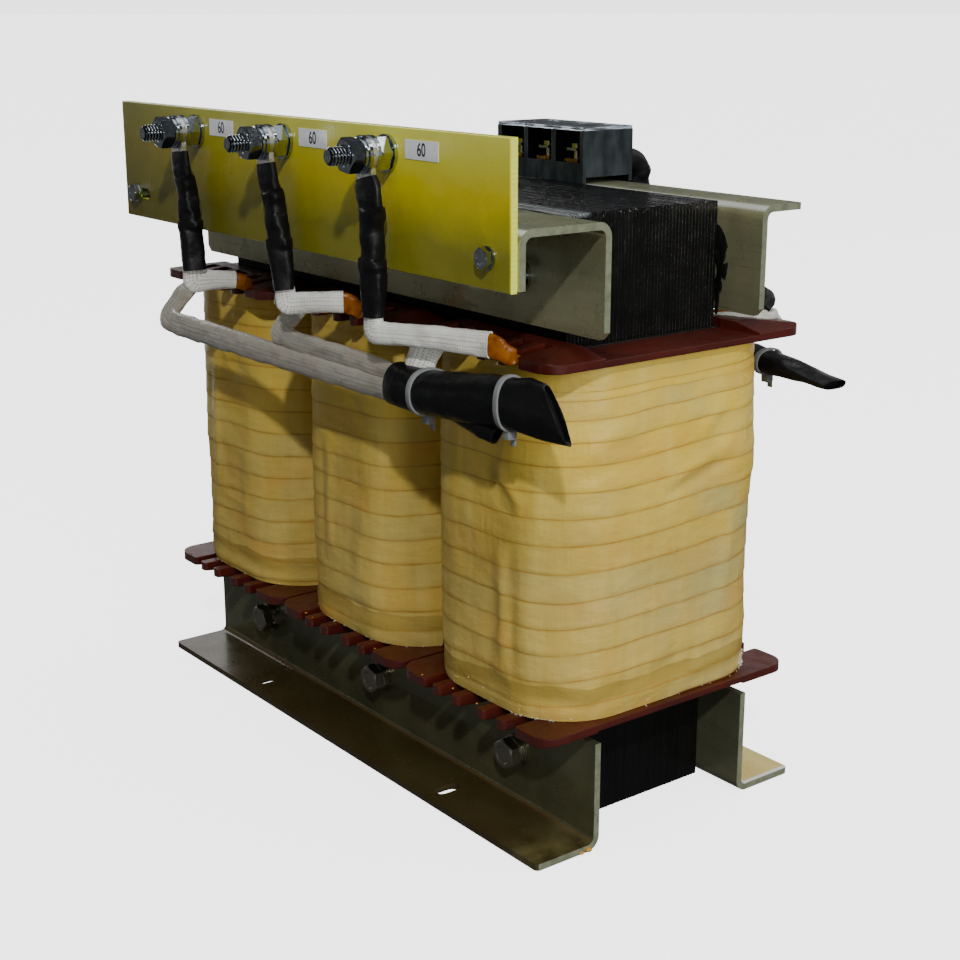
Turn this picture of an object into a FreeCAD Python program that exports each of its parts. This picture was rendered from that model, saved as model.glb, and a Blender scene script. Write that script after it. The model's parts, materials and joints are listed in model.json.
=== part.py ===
# Three-phase core-type transformer with open coils, in millimetres.
#
# X runs along the core, Y from the terminal board at the front (-Y) to the terminal
# block at the rear (+Y), Z up. The origin is the middle of the core's underside, which
# is level with the undersides of the feet.

import FreeCAD, Part
import math
import os
import re
import Sketcher

Vector = FreeCAD.Vector
Rotation = FreeCAD.Rotation
Placement = FreeCAD.Placement

SIZES = [
    ("limb_width", 70, "width of each of the three limbs"),
    ("window_width", 70, "width of each core window"),
    ("window_height", 210, "height of each core window"),
    ("yoke_height", 70, "height of the lower and upper yokes"),
    ("core_stack", 110, "thickness of the stack of laminations"),
    ("bolt_diameter", 10, "yoke bolts"),
    ("bolt_hole", 11, "hole for a yoke bolt in a clamp"),
    ("bolt_flats", 17, "across the flats of the yoke bolts' heads and nuts"),
    ("bolt_head", 6.4, "height of a yoke bolt's head"),
    ("bolt_end", 3, "thread that stands past a yoke nut"),
    ("nut_height", 8, "height of the yoke nuts"),
    ("washer_diameter", 20, "plain washers"),
    ("washer_thickness", 2, "plain washers"),
    ("spring_diameter", 18, "spring washers"),
    ("spring_thickness", 2.2, "spring washers"),
    ("tube_fit", 0.3, "play inside and outside an insulating tube"),
    ("tube_wall", 1.2, "wall of an insulating tube on a yoke bolt"),
    ("clamp_length", 418, "length of the four clamps"),
    ("clamp_sheet", 4, "thickness of the clamps' sheet"),
    ("bend_inside", 4, "inner radius of the clamps' bends"),
    ("lower_leg", 64, "height of the lower clamps"),
    ("foot_width", 45, "reach of a foot from the core's face"),
    ("foot_slot_length", 17, "mounting slots, along Y"),
    ("foot_slot_width", 9, "mounting slots"),
    ("foot_slot_pitch", 210, "mounting slots, along X"),
    ("foot_slot_reach", 29, "middle of a mounting slot from the core's face"),
    ("foot_corner", 3, "corner radius of a foot"),
    ("upper_leg", 61, "height of the upper clamps"),
    ("channel_width", 60, "reach of the front upper clamp from the core's face"),
    ("lip_height", 30, "height of the front upper clamp's lip"),
    ("shelf_width", 30, "reach of the rear upper clamp from the core's face"),
    ("leg_corner", 4, "cut corners of the upper clamps' legs"),
    ("board_inset", 1.5, "ends of the terminal board inside the clamps' ends"),
    ("board_height", 75, "terminal board"),
    ("board_thickness", 4.5, "terminal board"),
    ("board_drop", 1, "terminal board below the lip's edge"),
    ("board_edge", 0.5, "broken edges of the terminal board"),
    ("screw_inset", 17.5, "board screws from the board's ends"),
    ("screw_diameter", 6, "board screws"),
    ("screw_hole", 7, "holes for the board screws"),
    ("screw_slot", 20, "length of the board's slot at its left end"),
    ("screw_flats", 10, "across the flats of the board screws"),
    ("screw_head", 4, "height of a board screw's head"),
    ("screw_nut", 5, "height of a board nut"),
    ("screw_end", 2, "thread that stands past a board nut"),
    ("screw_washer", 12, "diameter of a board screw's washer"),
    ("screw_washer_thickness", 1.2, "board screws' washers"),
    ("stud_diameter", 10, "terminal studs"),
    ("stud_hole", 10.5, "holes in the board for the studs"),
    ("stud_pitch", 104, "between terminal studs"),
    ("stud_from_top", 14, "terminal studs below the board's upper edge"),
    ("stud_shoulder", 0.5, "full diameter of a stud past its nut"),
    ("stud_end", 8.5, "free thread of a stud"),
    ("stud_end_diameter", 9.6, "free thread of a stud, as a plain cylinder"),
    ("stud_point", 1, "slope at a stud's tip"),
    ("lug_thickness", 3, "terminal lugs"),
    ("lug_ring", 19, "width of a lug's ring"),
    ("lug_palm", 14, "width of a lug's palm"),
    ("lug_reach", 24, "from a stud's axis to the lug's barrel"),
    ("barrel_diameter", 9, "crimped barrel of a lug"),
    ("barrel_length", 16, "crimped barrel of a lug"),
    ("label_length", 29, "plain labels beside the studs"),
    ("label_height", 10, "plain labels"),
    ("label_thickness", 0.3, "plain labels"),
    ("label_offset", 31, "middle of a label from its stud, along X"),
    ("label_lift", 3.3, "middle of a label above its stud"),
    ("former_gap", 0.5, "play between limb and former"),
    ("former_wall", 2, "wall of a former"),
    ("former_corner", 3, "outer corner radius of a former"),
    ("former_end", 1, "between a former's end and the yoke"),
    ("coil_end", 5, "between a yoke and the wound length"),
    ("flange_gap", 2, "between the flanges of neighbouring coils"),
    ("flange_plate", 3.5, "plate of an end flange"),
    ("flange_fit", 0.2, "play between former and flange"),
    ("ear_reach", 40, "reach of a flange's ears from the core's face"),
    ("finger_reach", 41, "reach of a flange's fingers from the core's face"),
    ("slot_root", 14, "inner end of the slots between fingers, from the core's face"),
    ("finger_width", 7, "fingers of a flange"),
    ("finger_inner", 12, "inner fingers from the limb's middle"),
    ("finger_outer", 30, "outer fingers from the limb's middle"),
    ("ear_inner", 42, "inner side of an ear from the limb's middle"),
    ("ear_corner", 13, "outer corner radius of an ear"),
    ("finger_corner", 2.4, "corner radius of fingers and inner ear corners"),
    ("ridge_height", 8.5, "greatest thickness of a flange"),
    ("ridge_reach", 15, "end of the ridge from the core's face"),
    ("ridge_half", 49.5, "half length of the ridge"),
    ("rim_height", 5.5, "thickness at the fingers' ends"),
    ("side_rim", 4.5, "thickness at the ears' outer sides"),
    ("ridge_start", 2, "start of the ridge from the core's face"),
    ("winding_fit", 0.2, "play between one wound layer and the next"),
    ("winding_margin", 3, "bare end of the windings under the tape"),
    ("primary_build", 12.5, "thickness of the inner winding"),
    ("barrier_build", 1.6, "thickness of the paper between the windings"),
    ("secondary_build", 11.6, "thickness of the outer winding"),
    ("wrap_build", 3, "thickness of the tape around a coil"),
    ("wrap_corner", 46, "outer corner radius of a coil"),
    ("block_length", 84, "terminal block"),
    ("block_depth", 40.5, "terminal block"),
    ("block_height", 31.5, "terminal block without its cover"),
    ("block_shift", 19.5, "middle of the terminal block along X"),
    ("block_inset", 1.5, "terminal block over the core's rear edge"),
    ("block_pitch", 27, "between the block's poles"),
    ("cell_width", 23.5, "terminal block's cells"),
    ("cell_depth", 13, "terminal block's cells"),
    ("cell_floor", 12, "height of a cell's floor"),
    ("notch_width", 35.5, "open channel under the terminal block"),
    ("notch_height", 3.5, "open channel under the terminal block"),
    ("cover_thickness", 2, "clear cover of the terminal block"),
    ("contact_width", 12, "brass strips in the cells"),
    ("contact_thickness", 2, "brass strips in the cells"),
    ("contact_length", 10, "brass strips in the cells"),
    ("clamp_plate", 9, "side of a wire clamp"),
    ("clamp_lift", 5, "between a strip and its wire clamp"),
    ("clamp_thickness", 1.6, "wire clamps"),
    ("clamp_screw", 4, "screws of the wire clamps and the block"),
    ("clamp_screw_head", 7, "heads of those screws"),
    ("clamp_screw_head_height", 2.6, "heads of those screws"),
    ("boss_diameter", 9, "feet of the block around its fixing screws"),
    ("block_screw_hole", 4.5, "holes for the block's fixing screws"),
    ("block_nut_flats", 7, "nuts of the block's fixing screws"),
    ("block_nut_height", 3.2, "nuts of the block's fixing screws"),
    ("star_diameter", 9.5, "sleeved star-point leads"),
    ("sleeve_diameter", 11, "woven sleeves of the output leads"),
    ("shrink_wall", 1.4, "shrink tube over an output lead"),
    ("shrink_fit", 0.1, "play inside a shrink tube"),
    ("supply_diameter", 9, "sleeved supply leads"),
    ("tail_diameter", 4.4, "varnished ends of the windings"),
    ("shroud_fit", 0.3, "play between a shroud and a lead that enters it from the side"),
    ("tie_width", 4, "cable ties"),
    ("tie_thickness", 1.2, "cable ties"),
    ("tie_fit", 0.2, "play under a cable tie"),
    ("tie_head", 5, "width and depth of a cable tie's head"),
]

# Places that several sub-parts share, as expressions in the sizes above.
PITCH = "(limb_width + window_width)"
CORE_HALF = "(1.5 * limb_width + window_width)"
FACE = "(core_stack / 2)"
YOKE_UNDER = "(yoke_height + window_height)"
CORE_TOP = "(2 * yoke_height + window_height)"
COIL_LOW = "(yoke_height + coil_end)"
COIL_HIGH = "(yoke_height + window_height - coil_end)"
TUBE_BORE = "(bolt_diameter + 2 * tube_fit)"
TUBE_OUTSIDE = "(bolt_diameter + 2 * tube_fit + 2 * tube_wall)"
TUBE_HOLE = "(bolt_diameter + 4 * tube_fit + 2 * tube_wall)"
CLAMP_OUT = "(core_stack / 2 + clamp_sheet)"
BOARD_BACK = "(core_stack / 2 + channel_width)"
BOARD_FRONT = "(core_stack / 2 + channel_width + board_thickness)"
BOARD_HALF = "(clamp_length / 2 - board_inset)"
SCREW_OUT = "(clamp_length / 2 - board_inset - screw_inset)"
BOARD_LOW = "(2 * yoke_height + window_height - lip_height - board_drop)"
BOARD_TOP = f"({BOARD_LOW} + board_height)"
STUD_HEIGHT = f"({BOARD_TOP} - stud_from_top)"
SCREW_HEIGHT = "(2 * yoke_height + window_height - lip_height / 2)"
BASE_NUT = f"({BOARD_FRONT} + washer_thickness)"
LUG_BACK = f"({BASE_NUT} + nut_height + washer_thickness)"
LUG_FRONT = f"({LUG_BACK} + lug_thickness)"
SPRING_BACK = f"({LUG_FRONT} + washer_thickness)"
TOP_NUT = f"({SPRING_BACK} + spring_thickness)"
STUD_FREE = f"({TOP_NUT} + nut_height + stud_shoulder)"
FORMER_HALF_X = "(limb_width / 2 + former_gap + former_wall)"
FORMER_HALF_Y = "(core_stack / 2 + former_gap + former_wall)"
FLANGE_HALF = f"(({PITCH} - flange_gap) / 2)"
BLOCK_FRONT = "(core_stack / 2 - block_inset)"
CELL_FLOOR = f"({CORE_TOP} + cell_floor)"

COILS = (1, 2, 3)
LUG_LEANS = (5.5, 8.7, 0.3)

doc = FreeCAD.newDocument("transformer")
sheet = doc.addObject("Spreadsheet::Sheet", "Sizes")
for row, (alias, number, meaning) in enumerate(SIZES, 1):
    sheet.set(f"A{row}", meaning)
    sheet.set(f"B{row}", str(number))
    sheet.setAlias(f"B{row}", alias)
doc.recompute()

NAMES = {alias for alias, number, meaning in SIZES}
nodes = []


def bound(text):
    """The expression with each size's name led by the sheet's name."""
    def led(word):
        found = word.group(0)
        return "Sizes." + found if found in NAMES else found
    return re.sub(r"[a-z_]+", led, text)


def amount(text):
    return float(sheet.evalExpression(bound(text)))


def bind(target, name, text):
    target.setExpression(name, bound(text))


def minus(text):
    return f"-({text})"


# Sketches and features

def new_body(name):
    body = doc.addObject("PartDesign::Body", name)
    body.Label = name
    nodes.append(body)
    return body


def origin_feature(body, role):
    return next(item for item in body.Origin.OriginFeatures if item.Role == role)


def new_sketch(body, role, offset="0"):
    """A sketch on one of the body's own planes, moved along that plane's normal."""
    sketch = body.newObject("Sketcher::SketchObject", body.Name + "_sketch")
    sketch.AttachmentSupport = [(origin_feature(body, role), "")]
    sketch.MapMode = "FlatFace"
    bind(sketch, "AttachmentOffset.Base.z", offset)
    return sketch


def hold(sketch, relations, pins):
    """Add relations between curves, then hold points at coordinates given as expressions."""
    if relations:
        sketch.addConstraint(relations)
    pairs = []
    texts = []
    for geometry, point, across, up in pins:
        pairs.append(Sketcher.Constraint("DistanceX", -1, 1, geometry, point, amount(across)))
        pairs.append(Sketcher.Constraint("DistanceY", -1, 1, geometry, point, amount(up)))
        texts += [across, up]
    for index, text in zip(sketch.addConstraint(pairs), texts):
        bind(sketch, f"Constraints[{index}]", text)


def size_of(sketch, geometry, diameter):
    index = sketch.addConstraint(Sketcher.Constraint("Diameter", geometry, amount(diameter)))
    bind(sketch, f"Constraints[{index}]", diameter)


def draw_outline(sketch, corners):
    """A closed outline of straight lines through the corners."""
    spots = [Vector(amount(across), amount(up), 0) for across, up in corners]
    count = len(spots)
    lines = [Part.LineSegment(spots[k], spots[(k + 1) % count]) for k in range(count)]
    first = sketch.addGeometry(lines, False)[0]
    joints = [Sketcher.Constraint("Coincident", first + k, 2, first + (k + 1) % count, 1)
              for k in range(count)]
    hold(sketch, joints, [(first + k, 1, across, up) for k, (across, up) in enumerate(corners)])


def draw_box(sketch, left, right, low, high):
    draw_outline(sketch, [(left, low), (right, low), (right, high), (left, high)])


def draw_circle(sketch, across, up, diameter):
    circle = Part.Circle(Vector(amount(across), amount(up), 0), Vector(0, 0, 1), amount(diameter) / 2)
    index = sketch.addGeometry(circle, False)
    hold(sketch, None, [(index, 3, across, up)])
    size_of(sketch, index, diameter)


def draw_hexagon(sketch, across, up, flats):
    """A hexagon with a corner to the left and one to the right."""
    corners = []
    for k in range(6):
        turn = math.radians(60 * k)
        corners.append((f"{across} + ({flats}) * {math.cos(turn) / math.sqrt(3):.9f}",
                        f"{up} + ({flats}) * {math.sin(turn) / math.sqrt(3):.9f}"))
    draw_outline(sketch, corners)


def draw_slot(sketch, low_end, high_end, width):
    """A slot with round ends about two centres, each a pair of coordinates."""
    first = Vector(amount(low_end[0]), amount(low_end[1]), 0)
    second = Vector(amount(high_end[0]), amount(high_end[1]), 0)
    radius = amount(width) / 2
    along = (second - first).normalize()
    turn = math.atan2(along.y, along.x)
    side = Vector(-along.y, along.x, 0) * radius
    quarter = math.pi / 2
    axis = Vector(0, 0, 1)
    curves = [Part.ArcOfCircle(Part.Circle(first, axis, radius), turn + quarter, turn + 3 * quarter),
              Part.LineSegment(first - side, second - side),
              Part.ArcOfCircle(Part.Circle(second, axis, radius), turn - quarter, turn + quarter),
              Part.LineSegment(second + side, first + side)]
    start = sketch.addGeometry(curves, False)[0]
    joints = [Sketcher.Constraint("Tangent", start + k, 2, start + (k + 1) % 4, 1) for k in range(4)]
    joints.append(Sketcher.Constraint("Equal", start, start + 2))
    hold(sketch, joints, [(start, 3, *low_end), (start + 2, 3, *high_end)])
    size_of(sketch, start, width)


def pad(body, sketch, length, side="One side"):
    feature = body.newObject("PartDesign::Pad", body.Name + "_pad")
    feature.Profile = sketch
    feature.SideType = side
    bind(feature, "Length", length)
    return feature


def pocket(body, sketch, depth=None, back=False):
    """A pocket of a given depth, or right through on both sides of its sketch."""
    feature = body.newObject("PartDesign::Pocket", body.Name + "_pocket")
    feature.Profile = sketch
    feature.Reversed = back
    if depth is None:
        feature.Type = "ThroughAll"
        feature.SideType = "Symmetric"
    else:
        bind(feature, "Length", depth)
    return feature


def spread(body, originals, axis, step, count):
    """Repeat features along an axis of the body, or the whole body if none is named."""
    feature = body.newObject("PartDesign::LinearPattern", body.Name + "_row")
    if originals:
        feature.Originals = originals
    else:
        feature.TransformMode = "Whole shape"
    feature.Direction = (origin_feature(body, axis), [""])
    feature.Occurrences = count
    bind(feature, "Length", f"{count - 1} * {step}")
    body.Tip = feature
    return feature


def straight_edges(shape, way):
    """Names and middles of the straight edges that run along X, Y or Z."""
    axis = {"X": Vector(1, 0, 0), "Y": Vector(0, 1, 0), "Z": Vector(0, 0, 1)}[way]
    found = []
    for number, edge in enumerate(shape.Edges, 1):
        if len(edge.Vertexes) == 2 and edge.Curve.TypeId == "Part::GeomLine":
            if (edge.Vertexes[1].Point - edge.Vertexes[0].Point).cross(axis).Length < 1e-6:
                found.append((f"Edge{number}", edge.CenterOfMass))
    return found


def soften(body, kind, size, way, chosen):
    """Round or cut the body's straight edges along one axis whose middle is chosen."""
    doc.recompute()
    base = body.Tip
    names = [name for name, middle in straight_edges(base.Shape, way) if chosen(middle)]
    feature = body.newObject("PartDesign::" + kind, body.Name + "_" + kind.lower())
    feature.Base = (base, names)
    bind(feature, "Radius" if kind == "Fillet" else "Size", size)
    return feature


def near(value, text):
    return abs(value - amount(text)) < 0.01


def shift(target, across="0", out="0", up="0"):
    """Place a body away from the origin."""
    for axis, text in (("x", across), ("y", out), ("z", up)):
        if text != "0":
            bind(target, f"Placement.Base.{axis}", text)


def along_x(coil):
    """Where a coil's limb stands."""
    return f"{coil - 2} * {PITCH}"


# Core

def bore_bolt_holes(body, height):
    """Three holes through the stack for the bolts in their insulating tubes."""
    sketch = new_sketch(body, "XZ_Plane")
    draw_circle(sketch, minus(PITCH), height, TUBE_HOLE)
    spread(body, [pocket(body, sketch)], "X_Axis", PITCH, len(COILS))


def make_e_stack():
    body = new_body("core_e_stack")
    left = minus(CORE_HALF)
    inner = f"({CORE_HALF} - limb_width)"
    corners = [(left, "0"), (CORE_HALF, "0"), (CORE_HALF, YOKE_UNDER), (inner, YOKE_UNDER)]
    corners += [(inner, "yoke_height"), ("limb_width / 2", "yoke_height"), ("limb_width / 2", YOKE_UNDER)]
    corners += [("-limb_width / 2", YOKE_UNDER), ("-limb_width / 2", "yoke_height")]
    corners += [(minus(inner), "yoke_height"), (minus(inner), YOKE_UNDER), (left, YOKE_UNDER)]
    sketch = new_sketch(body, "XZ_Plane")
    draw_outline(sketch, corners)
    pad(body, sketch, "core_stack", "Symmetric")
    bore_bolt_holes(body, "yoke_height / 2")


def make_yoke_bar():
    body = new_body("core_yoke_bar")
    sketch = new_sketch(body, "XZ_Plane")
    draw_box(sketch, minus(CORE_HALF), CORE_HALF, YOKE_UNDER, CORE_TOP)
    pad(body, sketch, "core_stack", "Symmetric")
    bore_bolt_holes(body, f"{YOKE_UNDER} + yoke_height / 2")


# Clamps, drawn as the front ones; a rear clamp is turned about the core's middle

def bent_sheet(name, corners, bends, rear):
    """A sheet pressed along X, with its bends given as (outer corner, inner corner)."""
    body = new_body(name)
    sketch = new_sketch(body, "YZ_Plane")
    draw_outline(sketch, corners)
    pad(body, sketch, "clamp_length", "Symmetric")
    for place, radius in ((0, "bend_inside + clamp_sheet"), (1, "bend_inside")):
        spots = [bend[place] for bend in bends]
        soften(body, "Fillet", radius, "X",
               lambda middle: any(near(middle.y, out) and near(middle.z, up) for out, up in spots))
    if rear:
        body.Placement = Placement(Vector(), Rotation(Vector(0, 0, 1), 180))
    return body


def bore_clamp(body, height):
    sketch = new_sketch(body, "XZ_Plane", CLAMP_OUT)
    draw_circle(sketch, minus(PITCH), height, "bolt_hole")
    spread(body, [pocket(body, sketch, "clamp_sheet")], "X_Axis", PITCH, len(COILS))


def make_lower_clamp(name, rear):
    toe = minus("core_stack / 2 + foot_width")
    back = minus(FACE)
    out = minus(CLAMP_OUT)
    corners = [(back, "0"), (back, "lower_leg"), (out, "lower_leg"), (out, "clamp_sheet")]
    corners += [(toe, "clamp_sheet"), (toe, "0")]
    body = bent_sheet(name, corners, [((back, "0"), (out, "clamp_sheet"))], rear)
    soften(body, "Fillet", "foot_corner", "Z", lambda middle: near(middle.y, toe))
    bore_clamp(body, "yoke_height / 2")
    reach = minus("core_stack / 2 + foot_slot_reach")
    half = "(foot_slot_length - foot_slot_width) / 2"
    sketch = new_sketch(body, "XY_Plane", "clamp_sheet")
    start = "-foot_slot_pitch / 2"
    draw_slot(sketch, (start, f"{reach} - {half}"), (start, f"{reach} + {half}"), "foot_slot_width")
    spread(body, [pocket(body, sketch, "clamp_sheet")], "X_Axis", "foot_slot_pitch", 2)


def make_front_upper_clamp():
    """A channel: leg against the core, top, and the lip that carries the terminal board."""
    back = minus(FACE)
    out = minus(CLAMP_OUT)
    low = f"({CORE_TOP} - upper_leg)"
    under = f"({CORE_TOP} - clamp_sheet)"
    lip_out = minus(BOARD_BACK)
    lip_in = minus(f"{BOARD_BACK} - clamp_sheet")
    lip_low = f"({CORE_TOP} - lip_height)"
    corners = [(back, low), (back, CORE_TOP), (lip_out, CORE_TOP), (lip_out, lip_low), (lip_in, lip_low)]
    corners += [(lip_in, under), (out, under), (out, low)]
    bends = [((back, CORE_TOP), (out, under)), ((lip_out, CORE_TOP), (lip_in, under))]
    body = bent_sheet("upper_clamp_front", corners, bends, False)
    soften(body, "Chamfer", "leg_corner", "Y", lambda middle: near(middle.z, low))
    bore_clamp(body, f"{YOKE_UNDER} + yoke_height / 2")
    cut_screw_holes(body, BOARD_BACK, "clamp_sheet")


def make_rear_upper_clamp():
    back = minus(FACE)
    out = minus(CLAMP_OUT)
    edge = minus("core_stack / 2 + shelf_width")
    low = f"({CORE_TOP} - upper_leg)"
    under = f"({CORE_TOP} - clamp_sheet)"
    corners = [(back, low), (back, CORE_TOP), (edge, CORE_TOP), (edge, under), (out, under), (out, low)]
    body = bent_sheet("upper_clamp_rear", corners, [((back, CORE_TOP), (out, under))], True)
    soften(body, "Chamfer", "leg_corner", "Y", lambda middle: near(middle.z, low))
    bore_clamp(body, f"{YOKE_UNDER} + yoke_height / 2")
    sketch = new_sketch(body, "XY_Plane", CORE_TOP)
    middle = f"-({BLOCK_FRONT} + block_depth / 2)"
    for side in (-1, 1):
        draw_circle(sketch, f"-block_shift + {side} * block_pitch / 2", middle, "block_screw_hole")
    pocket(body, sketch, "clamp_sheet")


# Fasteners that lie along Y: start is the distance of a piece's rear face in front of
# the core's middle plane

def disc(body, across, up, diameter, start, length, bore=None):
    sketch = new_sketch(body, "XZ_Plane", start)
    draw_circle(sketch, across, up, diameter)
    if bore:
        draw_circle(sketch, across, up, bore)
    return pad(body, sketch, length)


def hexagon(body, across, up, flats, start, length, bore=None):
    sketch = new_sketch(body, "XZ_Plane", start)
    draw_hexagon(sketch, across, up, flats)
    if bore:
        draw_circle(sketch, across, up, bore)
    return pad(body, sketch, length)


def spread_over_yokes(body, features):
    spread(body, features, "X_Axis", PITCH, len(COILS))
    spread(body, None, "Z_Axis", "(yoke_height + window_height)", 2)


def spread_over_board(body, features):
    spread(body, features, "X_Axis", "stud_pitch", len(COILS))


YOKE_LEFT = minus(PITCH)
YOKE_HEIGHTS = ("yoke_height / 2", f"({YOKE_UNDER} + yoke_height / 2)")
REAR_NUT = f"({CLAMP_OUT} + washer_thickness + nut_height)"
YOKE_SPRING = f"({CLAMP_OUT} + washer_thickness)"
YOKE_HEAD = f"({YOKE_SPRING} + spring_thickness)"


def make_yoke_bolts():
    bolts = new_body("yoke_bolts")
    tail = f"({REAR_NUT} + bolt_end)"
    low = YOKE_HEIGHTS[0]
    shank = disc(bolts, YOKE_LEFT, low, "bolt_diameter", minus(tail), f"{tail} + {YOKE_HEAD}")
    cap = hexagon(bolts, YOKE_LEFT, low, "bolt_flats", YOKE_HEAD, "bolt_head")
    spread_over_yokes(bolts, [shank, cap])
    tubes = new_body("bolt_insulating_tubes")
    sleeve = disc(tubes, YOKE_LEFT, low, TUBE_OUTSIDE, minus(FACE), "core_stack", TUBE_BORE)
    spread_over_yokes(tubes, [sleeve])


def make_shared_fasteners():
    """Nuts and washers of one size, on the yoke bolts and on the terminal studs."""
    left = "-stud_pitch"
    nuts = new_body("hex_nuts")
    rows = [hexagon(nuts, YOKE_LEFT, up, "bolt_flats", minus(REAR_NUT), "nut_height", "bolt_diameter")
            for up in YOKE_HEIGHTS]
    spread(nuts, rows, "X_Axis", PITCH, len(COILS))
    pair = [hexagon(nuts, left, STUD_HEIGHT, "bolt_flats", start, "nut_height", "stud_diameter")
            for start in (BASE_NUT, TOP_NUT)]
    spread_over_board(nuts, pair)
    washers = new_body("plain_washers")
    rear_washer = minus(f"{CLAMP_OUT} + washer_thickness")
    rings = [disc(washers, YOKE_LEFT, up, "washer_diameter", start, "washer_thickness", "bolt_hole")
             for start in (CLAMP_OUT, rear_washer) for up in YOKE_HEIGHTS]
    spread(washers, rings, "X_Axis", PITCH, len(COILS))
    rings = [disc(washers, left, STUD_HEIGHT, "washer_diameter", start, "washer_thickness", "bolt_hole")
             for start in (BOARD_FRONT, f"{BASE_NUT} + nut_height", LUG_FRONT)]
    spread_over_board(washers, rings)
    springs = new_body("spring_washers")
    rings = [disc(springs, YOKE_LEFT, up, "spring_diameter", YOKE_SPRING, "spring_thickness", "bolt_hole")
             for up in YOKE_HEIGHTS]
    spread(springs, rings, "X_Axis", PITCH, len(COILS))
    ring = disc(springs, left, STUD_HEIGHT, "spring_diameter", SPRING_BACK, "spring_thickness", "bolt_hole")
    spread_over_board(springs, [ring])


# Terminal board

def cut_screw_holes(body, front, depth):
    """A slot for the left board screw and a round hole for the right one."""
    sketch = new_sketch(body, "XZ_Plane", front)
    left = minus(SCREW_OUT)
    draw_slot(sketch, (left, SCREW_HEIGHT), (f"{left} + screw_slot - screw_hole", SCREW_HEIGHT), "screw_hole")
    draw_circle(sketch, SCREW_OUT, SCREW_HEIGHT, "screw_hole")
    pocket(body, sketch, depth)


def make_board():
    body = new_body("terminal_board")
    sketch = new_sketch(body, "XZ_Plane", BOARD_BACK)
    draw_box(sketch, minus(BOARD_HALF), BOARD_HALF, BOARD_LOW, BOARD_TOP)
    pad(body, sketch, "board_thickness")
    front = minus(BOARD_FRONT)
    for way in ("X", "Z"):
        soften(body, "Chamfer", "board_edge", way, lambda middle: near(middle.y, front))
    cut_screw_holes(body, BOARD_FRONT, "board_thickness")
    sketch = new_sketch(body, "XZ_Plane", BOARD_FRONT)
    draw_circle(sketch, "-stud_pitch", STUD_HEIGHT, "stud_hole")
    spread(body, [pocket(body, sketch, "board_thickness")], "X_Axis", "stud_pitch", len(COILS))


def make_board_screws():
    left = minus(SCREW_OUT)
    step = f"(2 * {SCREW_OUT})"
    head = f"({BOARD_FRONT} + screw_washer_thickness)"
    lip = f"({BOARD_BACK} - clamp_sheet)"
    tip = f"({lip} - screw_nut - screw_end)"
    screws = new_body("board_screws")
    parts = [disc(screws, left, SCREW_HEIGHT, "screw_diameter", tip, f"{head} - {tip}"),
             hexagon(screws, left, SCREW_HEIGHT, "screw_flats", head, "screw_head")]
    spread(screws, parts, "X_Axis", step, 2)
    washers = new_body("board_washers")
    ring = disc(washers, left, SCREW_HEIGHT, "screw_washer", BOARD_FRONT, "screw_washer_thickness",
                "screw_hole")
    spread(washers, [ring], "X_Axis", step, 2)
    nuts = new_body("board_nuts")
    nut = hexagon(nuts, left, SCREW_HEIGHT, "screw_flats", f"{lip} - screw_nut", "screw_nut",
                  "screw_diameter")
    spread(nuts, [nut], "X_Axis", step, 2)


def make_studs():
    """Studs with a head behind the board and a free end past the upper nut."""
    left = "-stud_pitch"
    studs = new_body("terminal_studs")
    head = f"({BOARD_BACK} - bolt_head)"
    disc(studs, left, STUD_HEIGHT, "stud_diameter", head, f"{STUD_FREE} - {head}")
    disc(studs, left, STUD_HEIGHT, "stud_end_diameter", STUD_FREE, "stud_end")
    point = disc(studs, left, STUD_HEIGHT, "stud_end_diameter", f"{STUD_FREE} + stud_end", "stud_point")
    point.TaperAngle = -45
    hexagon(studs, left, STUD_HEIGHT, "bolt_flats", head, "bolt_head")
    spread_over_board(studs, None)


def primitive(kind, name, sizes, spot, turn=None):
    """A Part primitive with its sizes and its place as expressions."""
    thing = doc.addObject("Part::" + kind, name)
    for prop, text in sizes.items():
        bind(thing, prop, text)
    if turn:
        thing.Placement = Placement(Vector(), turn)
    for axis, text in zip("xyz", spot):
        bind(thing, f"Placement.Base.{axis}", text)
    return thing


TOWARDS_FRONT = Rotation(Vector(1, 0, 0), 90)


def make_lug(number, lean):
    """A ring lug whose palm hangs down into a round barrel, level with it at the front."""
    name = f"lug_{number}"
    ring = primitive("Cylinder", name + "_ring", {"Radius": "lug_ring / 2", "Height": "lug_thickness"},
                     ("0", minus(LUG_BACK), "0"), TOWARDS_FRONT)
    palm_sizes = {"Length": "lug_palm", "Width": "lug_thickness", "Height": "lug_reach"}
    palm = primitive("Box", name + "_palm", palm_sizes, ("-lug_palm / 2", minus(LUG_FRONT), "-lug_reach"))
    barrel_sizes = {"Radius": "barrel_diameter / 2", "Height": "barrel_length"}
    barrel = primitive("Cylinder", name + "_barrel", barrel_sizes,
                       ("0", minus(f"{LUG_FRONT} - barrel_diameter / 2"), "-lug_reach - barrel_length"))
    hole = primitive("Cylinder", name + "_hole", {"Radius": "stud_hole / 2", "Height": "lug_thickness"},
                     ("0", minus(LUG_BACK), "0"), TOWARDS_FRONT)
    whole = doc.addObject("Part::MultiFuse", name + "_whole")
    whole.Shapes = [ring, palm, barrel]
    lug = doc.addObject("Part::Cut", name)
    lug.Base = whole
    lug.Tool = hole
    lug.Placement = Placement(Vector(), Rotation(Vector(0, 1, 0), -lean))
    shift(lug, f"{number - 2} * stud_pitch", up=STUD_HEIGHT)
    return lug


def make_lugs():
    lugs = doc.addObject("Part::Compound", "terminal_lugs")
    lugs.Links = [make_lug(number, lean) for number, lean in zip(COILS, LUG_LEANS)]
    nodes.append(lugs)


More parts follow.
